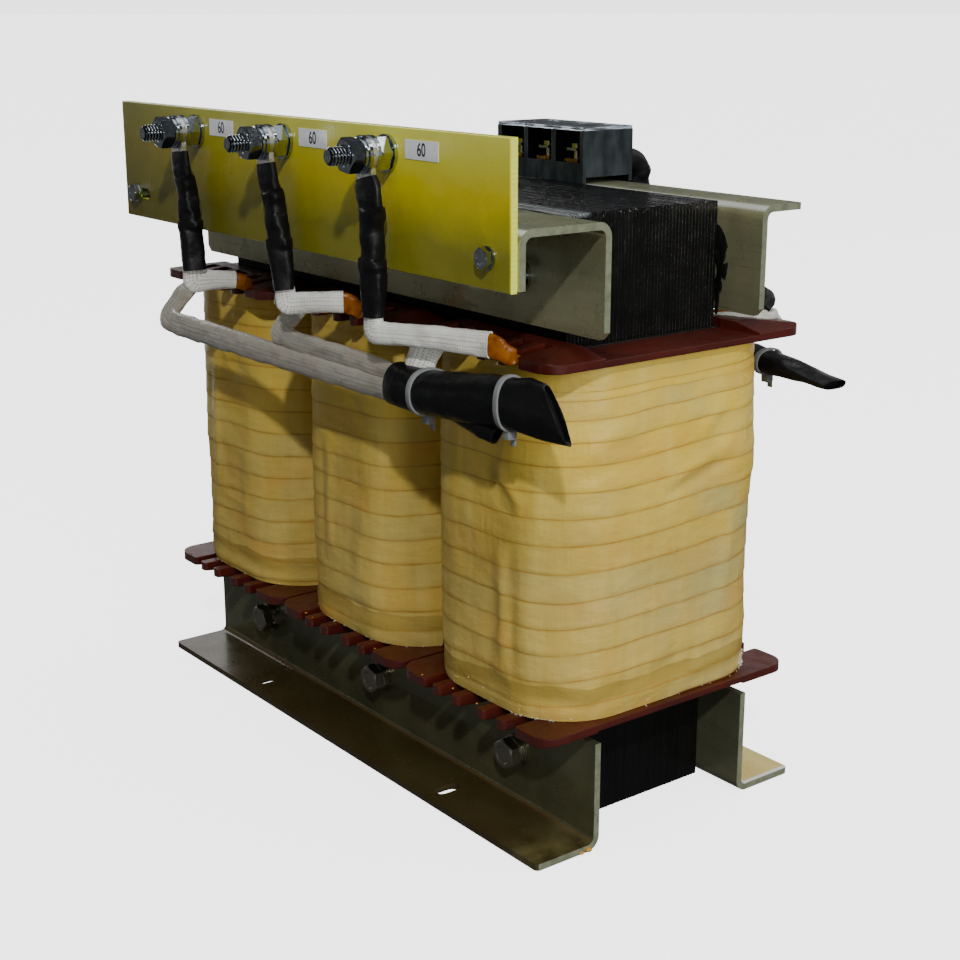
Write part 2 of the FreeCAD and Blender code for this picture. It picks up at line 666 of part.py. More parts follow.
def make_labels():
    body = new_body("terminal_labels")
    middle = "(label_offset - stud_pitch)"
    up = f"({STUD_HEIGHT} + label_lift)"
    sketch = new_sketch(body, "XZ_Plane", BOARD_FRONT)
    draw_box(sketch, f"{middle} - label_length / 2", f"{middle} + label_length / 2",
             f"{up} - label_height / 2", f"{up} + label_height / 2")
    spread_over_board(body, [pad(body, sketch, "label_thickness")])


# Coils

def rounded_ring(name, coil, inner, outer, low, high):
    """A wound layer: inner and outer are (half width, half depth, corner radius)."""
    body = new_body(f"{name}_{coil}")
    sketch = new_sketch(body, "XY_Plane", low)
    for half_x, half_y, corner in (outer, inner):
        draw_box(sketch, minus(half_x), half_x, minus(half_y), half_y)
    pad(body, sketch, f"{high} - {low}")
    for half_x, half_y, corner in (outer, inner):
        if corner:
            soften(body, "Fillet", corner, "Z", lambda middle: near(abs(middle.x), half_x))
    shift(body, along_x(coil))


def make_coil(coil):
    """The layers of one coil, from the former outwards."""
    bare = ("(limb_width / 2 + former_gap)", f"({FACE} + former_gap)", None)
    skin = (FORMER_HALF_X, FORMER_HALF_Y, "former_corner")
    low = "(yoke_height + former_end)"
    rounded_ring("former_tube", coil, bare, skin, low, f"({YOKE_UNDER} - former_end)")
    rest = "(wrap_build + secondary_build + barrier_build + 3 * winding_fit)"
    layers = (("primary_winding", "primary_build", rest, True),
              ("winding_barrier", "barrier_build", "(wrap_build + secondary_build + 2 * winding_fit)", True),
              ("secondary_winding", "secondary_build", "(wrap_build + winding_fit)", True),
              ("tape_wrap", "wrap_build", "0", False))
    half_x, half_y = FORMER_HALF_X, FORMER_HALF_Y
    for name, build, outside, bare_ends in layers:
        half_x = f"({half_x} + winding_fit)"
        half_y = f"({half_y} + winding_fit)"
        outer = (f"({half_x} + {build})", f"({half_y} + {build})", f"(wrap_corner - {outside})")
        if name == "primary_winding":
            inner = (half_x, half_y, "(former_corner + winding_fit)")
        else:
            inner = (half_x, half_y, f"(wrap_corner - {outside} - {build})")
        margin = "winding_margin" if bare_ends else "winding_fit"
        rounded_ring(name, coil, inner, outer, f"({COIL_LOW} + {margin})", f"({COIL_HIGH} - {margin})")
        half_x, half_y = outer[0], outer[1]


def comb_side():
    """Half of a flange's outline at the rear, from its right side to its middle."""
    ear = f"({FACE} + ear_reach)"
    tip = f"({FACE} + finger_reach)"
    root = f"({FACE} + slot_root)"
    corners = [(FLANGE_HALF, ear), ("ear_inner", ear), ("ear_inner", root)]
    for finger in ("finger_outer", "finger_inner"):
        corners += [(f"({finger} + finger_width / 2)", root), (f"({finger} + finger_width / 2)", tip)]
        corners += [(f"({finger} - finger_width / 2)", tip), (f"({finger} - finger_width / 2)", root)]
    return corners


def make_flange(name, coil, top):
    """A moulded end flange: a plate with two combs, thicker in front of and behind the core.

    It is drawn with the coil's side down. The comb is padded to its greatest thickness, and
    pockets then take away the plate's upper side and the slopes.
    """
    body = new_body(f"{name}_{coil}")
    half = comb_side()
    rear = half + [(minus(across), up) for across, up in reversed(half)]
    sketch = new_sketch(body, "XY_Plane")
    draw_outline(sketch, rear + [(minus(across), minus(up)) for across, up in rear])
    pad(body, sketch, "ridge_height")
    soften(body, "Fillet", "ear_corner", "Z", lambda middle: near(abs(middle.x), FLANGE_HALF))
    end = f"({FACE} + finger_reach)"
    ear = f"({FACE} + ear_reach)"

    def comb_corner(middle):
        on_ear = near(abs(middle.y), ear) and near(abs(middle.x), "ear_inner")
        return on_ear or near(abs(middle.y), end)
    soften(body, "Fillet", "finger_corner", "Z", comb_corner)
    clear = "(ridge_height + 1)"
    far = f"({FACE} + finger_reach + 1)"
    start = f"({FACE} + ridge_start)"
    ridge = f"({FACE} + ridge_reach)"
    side_sketch = new_sketch(body, "YZ_Plane")
    draw_box(side_sketch, minus(start), start, "flange_plate", clear)
    pocket(body, side_sketch)
    slope_sketch = new_sketch(body, "YZ_Plane")
    for sign in ("", "-"):
        draw_outline(slope_sketch, [(f"{sign}{ridge}", "ridge_height"), (f"{sign}{end}", "rim_height"),
                                    (f"{sign}{far}", "rim_height"), (f"{sign}{far}", clear),
                                    (f"{sign}{ridge}", clear)])
    pocket(body, slope_sketch)
    end_sketch = new_sketch(body, "XZ_Plane")
    wide = f"({FLANGE_HALF} + 1)"
    for sign in ("", "-"):
        draw_outline(end_sketch, [(f"{sign}ridge_half", "ridge_height"), (f"{sign}{FLANGE_HALF}", "side_rim"),
                                  (f"{sign}{wide}", "side_rim"), (f"{sign}{wide}", clear),
                                  (f"{sign}ridge_half", clear)])
    pocket(body, end_sketch)
    hole_sketch = new_sketch(body, "XY_Plane")
    hole_x = f"({FORMER_HALF_X} + flange_fit)"
    hole_y = f"({FORMER_HALF_Y} + flange_fit)"
    draw_box(hole_sketch, minus(hole_x), hole_x, minus(hole_y), hole_y)
    pocket(body, hole_sketch)
    if not top:
        body.Placement = Placement(Vector(), Rotation(Vector(1, 0, 0), 180))
    shift(body, along_x(coil), up=COIL_HIGH if top else COIL_LOW)


# Terminal block on the rear clamp's shelf

def make_block():
    body = new_body("terminal_block")
    rear = f"({BLOCK_FRONT} + block_depth)"
    middle = f"({BLOCK_FRONT} + block_depth / 2)"
    top = f"({CORE_TOP} + block_height)"
    notch = f"({CORE_TOP} + notch_height)"
    near_side = f"{middle} - notch_width / 2"
    far_side = f"{middle} + notch_width / 2"
    corners = [(BLOCK_FRONT, CORE_TOP), (near_side, CORE_TOP), (near_side, notch), (far_side, notch)]
    corners += [(far_side, CORE_TOP), (rear, CORE_TOP), (rear, top), (BLOCK_FRONT, top)]
    sketch = new_sketch(body, "YZ_Plane", "block_shift")
    draw_outline(sketch, corners)
    pad(body, sketch, "block_length", "Symmetric")
    first = "(block_shift - block_pitch)"
    for front, face in ((True, BLOCK_FRONT), (False, rear)):
        cell_sketch = new_sketch(body, "XZ_Plane", minus(face))
        draw_box(cell_sketch, f"{first} - cell_width / 2", f"{first} + cell_width / 2", CELL_FLOOR, top)
        cell = pocket(body, cell_sketch, "cell_depth", back=not front)
        spread(body, [cell], "X_Axis", "block_pitch", len(COILS))
    boss_sketch = new_sketch(body, "XY_Plane", CORE_TOP)
    hole_sketch = new_sketch(body, "XY_Plane", top)
    sink_sketch = new_sketch(body, "XY_Plane", top)
    for side in (-1, 1):
        across = f"block_shift + {side} * block_pitch / 2"
        draw_circle(boss_sketch, across, middle, "boss_diameter")
        draw_circle(hole_sketch, across, middle, "block_screw_hole")
        draw_circle(sink_sketch, across, middle, "(clamp_screw_head + 1)")
    pad(body, boss_sketch, "notch_height")
    pocket(body, hole_sketch, "block_height")
    pocket(body, sink_sketch, "(clamp_screw_head_height + 1)")


def make_block_fittings():
    """Brass strips, wire clamps, cover and fixing screws of the terminal block."""
    rear = f"({BLOCK_FRONT} + block_depth)"
    middle = f"({BLOCK_FRONT} + block_depth / 2)"
    top = f"({CORE_TOP} + block_height)"
    first = "(block_shift - block_pitch)"
    wall_front = f"({BLOCK_FRONT} + cell_depth)"
    wall_rear = f"({rear} - cell_depth)"
    strips = new_body("block_contacts")
    clamps = new_body("block_wire_clamps")
    strip_pads = []
    clamp_pads = []
    ends = ((wall_front, f"({wall_front} - contact_length)"), (f"({wall_rear} + contact_length)", wall_rear))
    for inner, outer in ends:
        sketch = new_sketch(strips, "XY_Plane", CELL_FLOOR)
        draw_box(sketch, f"{first} - contact_width / 2", f"{first} + contact_width / 2", outer, inner)
        strip_pads.append(pad(strips, sketch, "contact_thickness"))
        centre = f"({inner} + {outer}) / 2"
        plate_low = f"({CELL_FLOOR} + contact_thickness + clamp_lift)"
        plate = new_sketch(clamps, "XY_Plane", plate_low)
        draw_box(plate, f"{first} - clamp_plate / 2", f"{first} + clamp_plate / 2",
                 f"{centre} - clamp_plate / 2", f"{centre} + clamp_plate / 2")
        clamp_pads.append(pad(clamps, plate, "clamp_thickness"))
        shank = new_sketch(clamps, "XY_Plane", f"{CELL_FLOOR} + contact_thickness")
        draw_circle(shank, first, centre, "clamp_screw")
        clamp_pads.append(pad(clamps, shank, "clamp_lift + clamp_thickness"))
        head = new_sketch(clamps, "XY_Plane", f"{plate_low} + clamp_thickness")
        draw_circle(head, first, centre, "clamp_screw_head")
        clamp_pads.append(pad(clamps, head, "clamp_screw_head_height"))
    spread(strips, strip_pads, "X_Axis", "block_pitch", len(COILS))
    spread(clamps, clamp_pads, "X_Axis", "block_pitch", len(COILS))
    cover = new_body("block_cover")
    sketch = new_sketch(cover, "XY_Plane", top)
    draw_box(sketch, "block_shift - block_length / 2", "block_shift + block_length / 2", BLOCK_FRONT, rear)
    pad(cover, sketch, "cover_thickness")
    soften(cover, "Fillet", "cover_thickness / 2", "Z", lambda corner: True)
    screws = new_body("block_screws")
    nuts = new_body("block_nuts")
    head_low = f"({top} - clamp_screw_head_height - 1)"
    nut_low = f"({CORE_TOP} - clamp_sheet - block_nut_height)"
    tip = f"({nut_low} - 1)"
    left = "(block_shift - block_pitch / 2)"
    shank = new_sketch(screws, "XY_Plane", tip)
    draw_circle(shank, left, middle, "clamp_screw")
    head = new_sketch(screws, "XY_Plane", head_low)
    draw_circle(head, left, middle, "clamp_screw_head")
    parts = [pad(screws, shank, f"{head_low} - {tip}"), pad(screws, head, "clamp_screw_head_height")]
    spread(screws, parts, "X_Axis", "block_pitch", 2)
    nut = new_sketch(nuts, "XY_Plane", nut_low)
    draw_hexagon(nut, left, middle, "block_nut_flats")
    draw_circle(nut, left, middle, "clamp_screw")
    spread(nuts, [pad(nuts, nut, "block_nut_height")], "X_Axis", "block_pitch", 2)


# Leads: their routes are chosen by hand, from the photograph

# Each lug leans by its own angle, in degrees, and its sleeve hangs on in line with it. These
# points follow the end of a lug's barrel.
OUTPUT_SLEEVES = [
    [(-98.2, -130, 320), (-98.3, -128.5, 287.5), (-94, -104, 287)],
    [(14, -130, 288.5), (32, -104, 290)],
    [(104, -130, 285), (140, -117, 286), (171, -104.5, 288)],
]
OUTPUT_TAILS = [
    [(-102.2, -78, 272.2), (-102.2, -78, 284), (-100, -92, 286), (-93, -107, 287)],
    [(21, -78, 272.2), (21, -78, 285), (24, -92, 288), (34, -107, 290)],
    [(178, -78, 272.2), (178, -78, 285), (177.5, -93, 287), (168, -105, 288)],
]
SHRINK_LOW = 296
FRONT_STAR_LEADS = [
    [(-161, -90, 281), (-161, -104, 276), (-160, -118, 252), (-112, -119, 252), (0, -118, 252),
     (108, -118, 252)],
    [(-21, -90, 281), (-21, -103, 276), (-17, -118, 262.5), (108, -118, 262.5)],
    [(119, -90, 281), (119, -104, 277), (121, -113, 269), (122, -116, 259)],
]
REAR_STAR_LEADS = [
    [(-161, 90, 281), (-161, 104, 276), (-159, 111, 252), (-10, 110.5, 252), (146, 110.5, 252)],
    [(-21, 90, 281), (-21, 100, 277), (-18, 100.5, 252), (146, 100.5, 252)],
    [(119, 90, 281), (119, 102, 277), (132, 105, 264), (152, 105, 256)],
]
SUPPLY_LEADS = [
    [(-102.2, 90, 283), (-100, 102, 290), (-72, 107, 301), (-30, 112, 316), (-9, 116, 336), (-7.5, 114, 366),
     (-7.5, 91.5, 371)],
    [(37.7, 90, 283), (37, 102, 290), (30, 107, 302), (21, 113, 320), (19.5, 116, 340), (19.5, 114, 366),
     (19.5, 91.5, 371)],
    [(177.7, 90, 283), (174, 102, 290), (140, 107, 298), (92, 110, 306), (58, 114, 320), (47, 117, 340),
     (46.5, 114, 366), (46.5, 91.5, 371)],
]
STAR_TAIL = [(0, 78, 272.2), (0, 78, 286), (0, 93, 280)]
SUPPLY_TAIL = [(0, 78, 272.2), (0, 78, 281), (0, 93, 284)]

# Sections of the shrouds over the star points: middle, half thickness, half height, and the
# lean of the section's top away from the near end in degrees.
FRONT_SHROUD = [
    (108, -118, 257.2, 8.5, 12, 0), (118, -117.5, 257, 12, 12, 0), (131, -116, 257, 12.5, 11.5, 0),
    (137, -116, 257, 12.5, 11.5, 0), (150, -115.3, 257.5, 13, 13.5, 0), (172, -114, 258.5, 13, 14.5, 0),
    (187, -112.5, 259.5, 11, 16, 0), (195.5, -112, 262.3, 9, 13.5, 0), (201.5, -112, 262.3, 9, 13.5, 0),
    (215, -109.5, 262.3, 5.5, 15.5, 15), (231, -108, 261.6, 3.5, 16.8, 34),
]
REAR_SHROUD = [
    (146, 105.5, 252, 11, 7, 0), (158, 105.3, 252, 11.5, 8, 0), (169, 105, 251.7, 10, 6.5, 0),
    (175, 105, 251.7, 10, 6.5, 0), (190, 105, 250, 10.5, 6, 0), (209, 105, 248, 10, 4, 0),
    (224, 104.5, 246.4, 9.5, 2.5, 0),
]
# Where each cable tie sits along X, and the shroud's section there.
TIES = [(134, FRONT_SHROUD[2]), (198.5, FRONT_SHROUD[7]), (172, REAR_SHROUD[2])]
# The seam of a shroud's sections is turned to the side, clear of the ties' heads.
SEAM_TURN = 90


def route_wire(points, lead_in=None):
    """Straight runs joined by arcs as large as the shorter run at each point allows.

    The first run can start further back, at a lead-in point, without a change to the arcs.
    """
    spots = [Vector(*point) for point in points]
    edges = []
    start = Vector(*lead_in) if lead_in else spots[0]
    radii = []
    for before, here, after in zip(spots, spots[1:], spots[2:]):
        back = (before - here).normalize()
        ahead = (after - here).normalize()
        turn = math.pi - back.getAngle(ahead)
        set_back = 0.45 * min((before - here).Length, (after - here).Length)
        radii.append(set_back / math.tan(turn / 2))
        first = here + back * set_back
        last = here + ahead * set_back
        centre = here + (back + ahead).normalize() * (radii[-1] / math.cos(turn / 2))
        middle = centre + (here - centre).normalize() * radii[-1]
        edges += [Part.LineSegment(start, first).toShape(), Part.Arc(first, middle, last).toShape()]
        start = last
    edges.append(Part.LineSegment(start, spots[-1]).toShape())
    return Part.Wire(edges), radii


def sweep(points, diameter, lead_in=None):
    wire, radii = route_wire(points, lead_in)
    start = Vector(*(lead_in or points[0]))
    way = Vector(*points[1]) - start
    section = Part.Wire(Part.Circle(start, way, diameter / 2).toShape())
    return wire.makePipeShell([section], True, False), wire.Length, radii


def swept(name, points, diameter):
    """A round lead along its route; its volume is checked against section times length."""
    solid, length, radii = sweep(points, diameter)
    expected = math.pi * diameter ** 2 / 4 * length
    if abs(solid.Volume - expected) > 0.02 * expected:
        raise ValueError(f"{name}: volume {solid.Volume:.0f}, section times length {expected:.0f}")
    print(name, "length", round(length), "radii", [round(radius, 1) for radius in radii])
    return solid


def add_shape(name, solids):
    feature = doc.addObject("Part::Feature", name)
    feature.Label = name
    feature.Shape = solids[0] if len(solids) == 1 else Part.makeCompound(solids)
    nodes.append(feature)


def ring_section(section, grown=0, across=None):
    """An oval wire across X, leant about Y."""
    x, y, z, half_y, half_z, lean = section
    scale = FreeCAD.Matrix()
    scale.scale(Vector(1, half_y + grown, half_z + grown))
    circle = Part.Circle(Vector(), Vector(1, 0, 0), 1).toShape()
    circle.rotate(Vector(), Vector(1, 0, 0), SEAM_TURN)
    oval = circle.transformGeometry(scale)
    oval.Placement = Placement(Vector(x if across is None else across, y, z),
                               Rotation(Vector(0, 1, 0), -lean)).multiply(oval.Placement)
    return Part.Wire(oval)


def shroud(sections, grown=0):
    return Part.makeLoft([ring_section(section, grown) for section in sections], True, True)


def make_shrouds_and_ties():
    add_shape("front_star_shroud", [shroud(FRONT_SHROUD)])
    add_shape("rear_star_shroud", [shroud(REAR_SHROUD)])
    width = amount("tie_width")
    inner = amount("tie_fit")
    outer = inner + amount("tie_thickness")
    side = amount("tie_head")
    ties = []
    for across, section in TIES:
        rings = [Part.makeLoft([ring_section(section, grown, across - width / 2),
                                ring_section(section, grown, across + width / 2)], True, True)
                 for grown in (outer, inner)]
        low = section[2] - section[4] - (inner + outer) / 2
        head = Part.makeBox(side, side, side, Vector(across - side / 2, section[1] - side / 2, low - side))
        ties.append(rings[0].cut(rings[1]).fuse(head))
    add_shape("cable_ties", ties)


def beside_lug(number, reach):
    """A point on a lug's middle line, at a distance from its stud."""
    lean = math.radians(LUG_LEANS[number - 1])
    return ((number - 2) * amount("stud_pitch") + reach * math.sin(lean),
            -amount(f"{LUG_FRONT} - barrel_diameter / 2"), amount(STUD_HEIGHT) - reach * math.cos(lean))


def make_output_leads():
    """Woven sleeves from the lugs to the coils, with shrink tubes over their upper parts."""
    sleeve = amount("sleeve_diameter")
    bore = sleeve + 2 * amount("shrink_fit")
    outside = bore + 2 * amount("shrink_wall")
    sleeves = []
    shrinks = []
    for number, rest in zip(COILS, OUTPUT_SLEEVES):
        route = [beside_lug(number, amount("lug_reach + barrel_length + 1"))] + rest
        top = beside_lug(number, amount("lug_reach + 1"))
        sleeves.append(swept("output_sleeve", route, sleeve))
        add_shape(f"output_sleeve_{number}", sleeves[-1:])
        tube = sweep(route, outside, top)[0].cut(sweep(route, bore, top)[0])
        side = 2 * outside
        low = Vector(route[0][0] - side, route[0][1] - side, SHRINK_LOW)
        shrinks.append(tube.common(Part.makeBox(3 * side, 3 * side, side + top[2] - SHRINK_LOW, low)))
    add_shape("output_shrink_tubes", shrinks)
    return sleeves


def make_leads():
    sleeves = make_output_leads()
    star = amount("star_diameter")
    front = [swept("front_star_lead", route, star) for route in FRONT_STAR_LEADS]
    rear = [swept("rear_star_lead", route, star) for route in REAR_STAR_LEADS]
    supply = [swept("supply_lead", route, amount("supply_diameter")) for route in SUPPLY_LEADS]
    fit = amount("shroud_fit")
    front[2] = front[2].cut(shroud(FRONT_SHROUD, fit))
    rear[2] = rear[2].cut(shroud(REAR_SHROUD, fit))
    for coil, solid in zip(COILS, front):
        add_shape(f"front_star_lead_{coil}", [solid])
    add_shape("rear_star_leads", rear)
    add_shape("supply_leads", supply)
    pairs = list(zip(OUTPUT_TAILS, sleeves))
    groups = ((front, FRONT_STAR_LEADS, STAR_TAIL, -1), (rear, REAR_STAR_LEADS, STAR_TAIL, 1),
              (supply, SUPPLY_LEADS, SUPPLY_TAIL, 1))
    for leads, routes, tail, side in groups:
        for lead, route in zip(leads, routes):
            pairs.append(([(route[0][0], side * out, up) for across, out, up in tail], lead))
    tail_diameter = amount("tail_diameter")
    add_shape("lead_tails", [sweep(route, tail_diameter)[0].cut(lead) for route, lead in pairs])
    make_shrouds_and_ties()


make_e_stack()
make_yoke_bar()
make_lower_clamp("lower_clamp_front", False)
make_lower_clamp("lower_clamp_rear", True)
make_front_upper_clamp()
make_rear_upper_clamp()
make_yoke_bolts()
make_shared_fasteners()
make_board()
make_board_screws()
make_studs()
make_lugs()
make_labels()
for coil in COILS:
    make_coil(coil)
    make_flange("bottom_flange", coil, False)
    make_flange("top_flange", coil, True)
make_block()
make_block_fittings()
make_leads()

doc.recompute()
for item in doc.Objects:
    if "Invalid" in item.State or "Error" in item.State:
        raise RuntimeError(f"{item.Label} did not build: {item.State}")
os.makedirs("parts", exist_ok=True)
for node in nodes:
    if node.Shape.isNull() or not node.Shape.isValid():
        raise RuntimeError(f"{node.Label} has no valid shape")
    node.Shape.exportStep(f"parts/{node.Label}.step")
    print(node.Label, len(node.Shape.Solids), round(node.Shape.Volume))
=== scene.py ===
import json
import math
import random

import bmesh
import bpy
from mathutils import Matrix, Vector, noise


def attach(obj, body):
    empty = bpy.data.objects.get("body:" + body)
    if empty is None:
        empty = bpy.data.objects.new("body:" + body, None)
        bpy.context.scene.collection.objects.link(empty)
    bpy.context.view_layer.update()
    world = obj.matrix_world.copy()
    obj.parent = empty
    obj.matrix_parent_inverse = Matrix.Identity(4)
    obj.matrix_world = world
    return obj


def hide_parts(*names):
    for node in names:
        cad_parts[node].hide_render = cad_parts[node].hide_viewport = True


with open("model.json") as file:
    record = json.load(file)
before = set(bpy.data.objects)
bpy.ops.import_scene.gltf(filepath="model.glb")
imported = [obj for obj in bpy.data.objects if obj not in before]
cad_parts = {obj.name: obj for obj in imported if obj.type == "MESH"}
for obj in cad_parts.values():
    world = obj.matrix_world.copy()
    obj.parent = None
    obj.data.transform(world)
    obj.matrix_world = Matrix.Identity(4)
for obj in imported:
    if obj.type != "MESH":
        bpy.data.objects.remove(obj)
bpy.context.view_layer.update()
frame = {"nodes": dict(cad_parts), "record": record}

MM = 0.001
TAU = 2 * math.pi
COILS = (1, 2, 3)
TO_FRONT = Vector((0, -1, 0))
TO_REAR = Vector((0, 1, 0))

# Places from the solids, in millimetres.
COIL_PITCH = 140
CORE_HALF = 175
CORE_FACE = 55
CORE_TOP = 350
SHEET_PITCH = 2.5
CLAMP_END = 209
STUD_PITCH = 104
STUD_Z = 380
BOARD_FRONT = 119.5
LUG_LEANS = (5.5, 8.7, 0.3)
WRAP_LOW = 75.2
WRAP_HIGH = 274.8
WRAP_HALF_X, WRAP_HALF_Y, WRAP_CORNER = 65.9, 85.9, 45
WRAP_GIRTH = 2 * (2 * (WRAP_HALF_X + WRAP_HALF_Y - 2 * WRAP_CORNER) + math.pi * WRAP_CORNER)


# Materials

def shade(tone):
    """A colour as it is, or the grey that a single number stands for."""
    return (tone,) * 3 if isinstance(tone, (int, float)) else tone


def operation(kind):
    return lambda wire, *others: wire.nodes.maths(kind, wire, *others)


class Wire:
    """What a node gives out. Arithmetic on it makes further nodes."""

    def __init__(self, nodes, socket):
        self.nodes = nodes
        self.socket = socket

    __add__ = operation("ADD")
    __sub__ = operation("SUBTRACT")
    __mul__ = operation("MULTIPLY")
    __lt__ = operation("LESS_THAN")
    __gt__ = operation("GREATER_THAN")
    __abs__ = operation("ABSOLUTE")
    at_least = operation("MAXIMUM")
    sine = operation("SINE")
    to_and_fro = operation("PINGPONG")

    def spread(self, start, end, first=0.0, last=1.0):
        """A value that goes from first to last while this one goes from start to end."""
        return self.nodes.add("MapRange", [self, start, end, first, last])

    def ramp(self, *stops):
        """Colours or grey values at places between 0 and 1."""
        made = self.nodes.add("ValToRGB", [self], "Color")
        elements = made.socket.node.color_ramp.elements
        while len(elements) < len(stops):
            elements.new(0.5)
        for element, (place, tone) in zip(elements, stops):
            element.position = place
            element.color = (*shade(tone), 1)
        return made

    def tones(self, low, first, high, last):
        return self.ramp((low, first), (high, last))

    def under(self, *layers):
        """This colour under others; a layer is its share and its colour."""
        tone = self
        for share, colour in layers:
            tone = self.nodes.blend(share, tone, colour)
        return tone


class Nodes:
    """A node tree, with its nodes made by one short call each."""

    def __init__(self, tree):
        self.tree = tree

    def add(self, kind, sockets=(), output=0, **settings):
        """A node: settings are its properties, sockets its values in order or by name."""
        made = self.tree.nodes.new("ShaderNode" + kind)
        for name, value in settings.items():
            setattr(made, name, value)
        for key, value in sockets.items() if isinstance(sockets, dict) else enumerate(sockets):
            self.feed(made.inputs[key], value)
        return Wire(self, made.outputs[output])

    def feed(self, socket, value):
        if isinstance(value, Wire):
            self.tree.links.new(value.socket, socket)
        elif socket.type == "RGBA":
            socket.default_value = (*value, 1)
        else:
            socket.default_value = value

    def maths(self, kind, *values):
        return self.add("Math", values, operation=kind)

    def parts(self, vector):
        made = self.add("SeparateXYZ", [vector]).socket.node
        return [Wire(self, output) for output in made.outputs]

    def blend(self, share, first, second):
        return self.add("Mix", {0: share, 6: shade(first), 7: shade(second)}, 2, data_type="RGBA")


class Finish(Nodes):
    """A material."""

    def __init__(self, name, colour, **sockets):
        self.material = bpy.data.materials.new(name)
        self.material.use_nodes = True
        super().__init__(self.material.node_tree)
        self.paint(Base_Color=colour, **sockets)

    def paint(self, **sockets):
        surface = self.tree.nodes["Principled BSDF"]
        for name, value in sockets.items():
            self.feed(surface.inputs[name.replace("_", " ")], value)

    def place(self):
        """The piece's own coordinates, in millimetres."""
        return self.stretched(self.add("TexCoord", output="Object"), (1000, 1000, 1000))

    def facing(self):
        """The three parts of the direction that the surface faces."""
        return self.parts(self.add("TexCoord", output="Normal"))

    def stretched(self, vector, factors):
        return self.add("VectorMath", [vector, factors], operation="MULTIPLY")

    def cloud(self, vector, scale, detail=3.0, factors=None):
        """Soft noise whose grain is about 1 / scale of the vector's unit."""
        if factors:
            vector = self.stretched(vector, factors)
        sockets = {"Vector": vector, "Scale": scale, "Detail": detail, "Roughness": 0.55}
        return self.add("TexNoise", sockets, "Fac")

    def relief(self, height, depth, base=None):
        """A bump whose height, from 0 to 1, stands for a depth in millimetres."""
        sockets = {"Distance": depth * MM, "Height": height}
        if base is not None:
            sockets["Normal"] = base
        return self.add("Bump", sockets)

    def soft_edges(self, radius):
        return self.add("Bevel", {"Radius": radius * MM}, samples=4)


def varnished_laminations():
    """Black varnish over the edges of the sheets, run together in places; pale streaks at the front of the
    top are a painted reflection off sheet edges that stand out there.
    """
    f = Finish("varnished_laminations", (0.006, 0.006, 0.006), IOR=1.5, Specular_IOR_Level=0.22)
    spot = f.place()
    x, y, z = f.parts(spot)
    groove = (y * (1 / SHEET_PITCH)).to_and_fro(0.5).ramp((0.0, 0.0), (0.35, 0.9), (1.0, 1.0))
    unfilled = (y.spread(-30, 15, 1.0, 0.1) * z.spread(120, 200, 0.1, 1.0)
                * f.cloud(spot, 1.0, 4, (0.02, 0.06, 0.015)).spread(0.4, 0.65, 1.0, 0.3))
    runs = f.cloud(spot, 1.0, 4, (0.25, 0.6, 0.03))
    lumps = f.cloud(spot, 0.07, 5)
    flakes = (f.cloud(spot, 0.9, 2).spread(0.68, 0.72)
              * z.spread(CORE_TOP - 3.6, CORE_TOP - 2) * x.spread(CORE_HALF - 3, CORE_HALF - 1))
    # Painted reflection: pale streaks along the front of the top, where edges of the sheets stand out a
    # little.
    threads = (f.cloud(spot, 1.0, 3, (0.03, 2.2, 1)).spread(0.42, 0.56, 0.0, 0.8)
               * y.spread(-44, -38, 1.0, 0.0) * z.spread(CORE_TOP - 2.8, CORE_TOP - 1.2))
    black = f.cloud(spot, 1.0, 3, (0.1, 3.0, 0.01)).tones(0.35, 0.003, 0.75, (0.009, 0.009, 0.008))
    f.paint(Base_Color=black.under((flakes, (0.5, 0.5, 0.48)), (threads, (0.34, 0.37, 0.38))),
            Roughness=lumps.spread(0.3, 0.7, 0.14, 0.3),
            Normal=f.relief(lumps, 0.6, f.relief(runs, 0.35, f.relief(groove * unfilled, 0.45))))
    return f.material


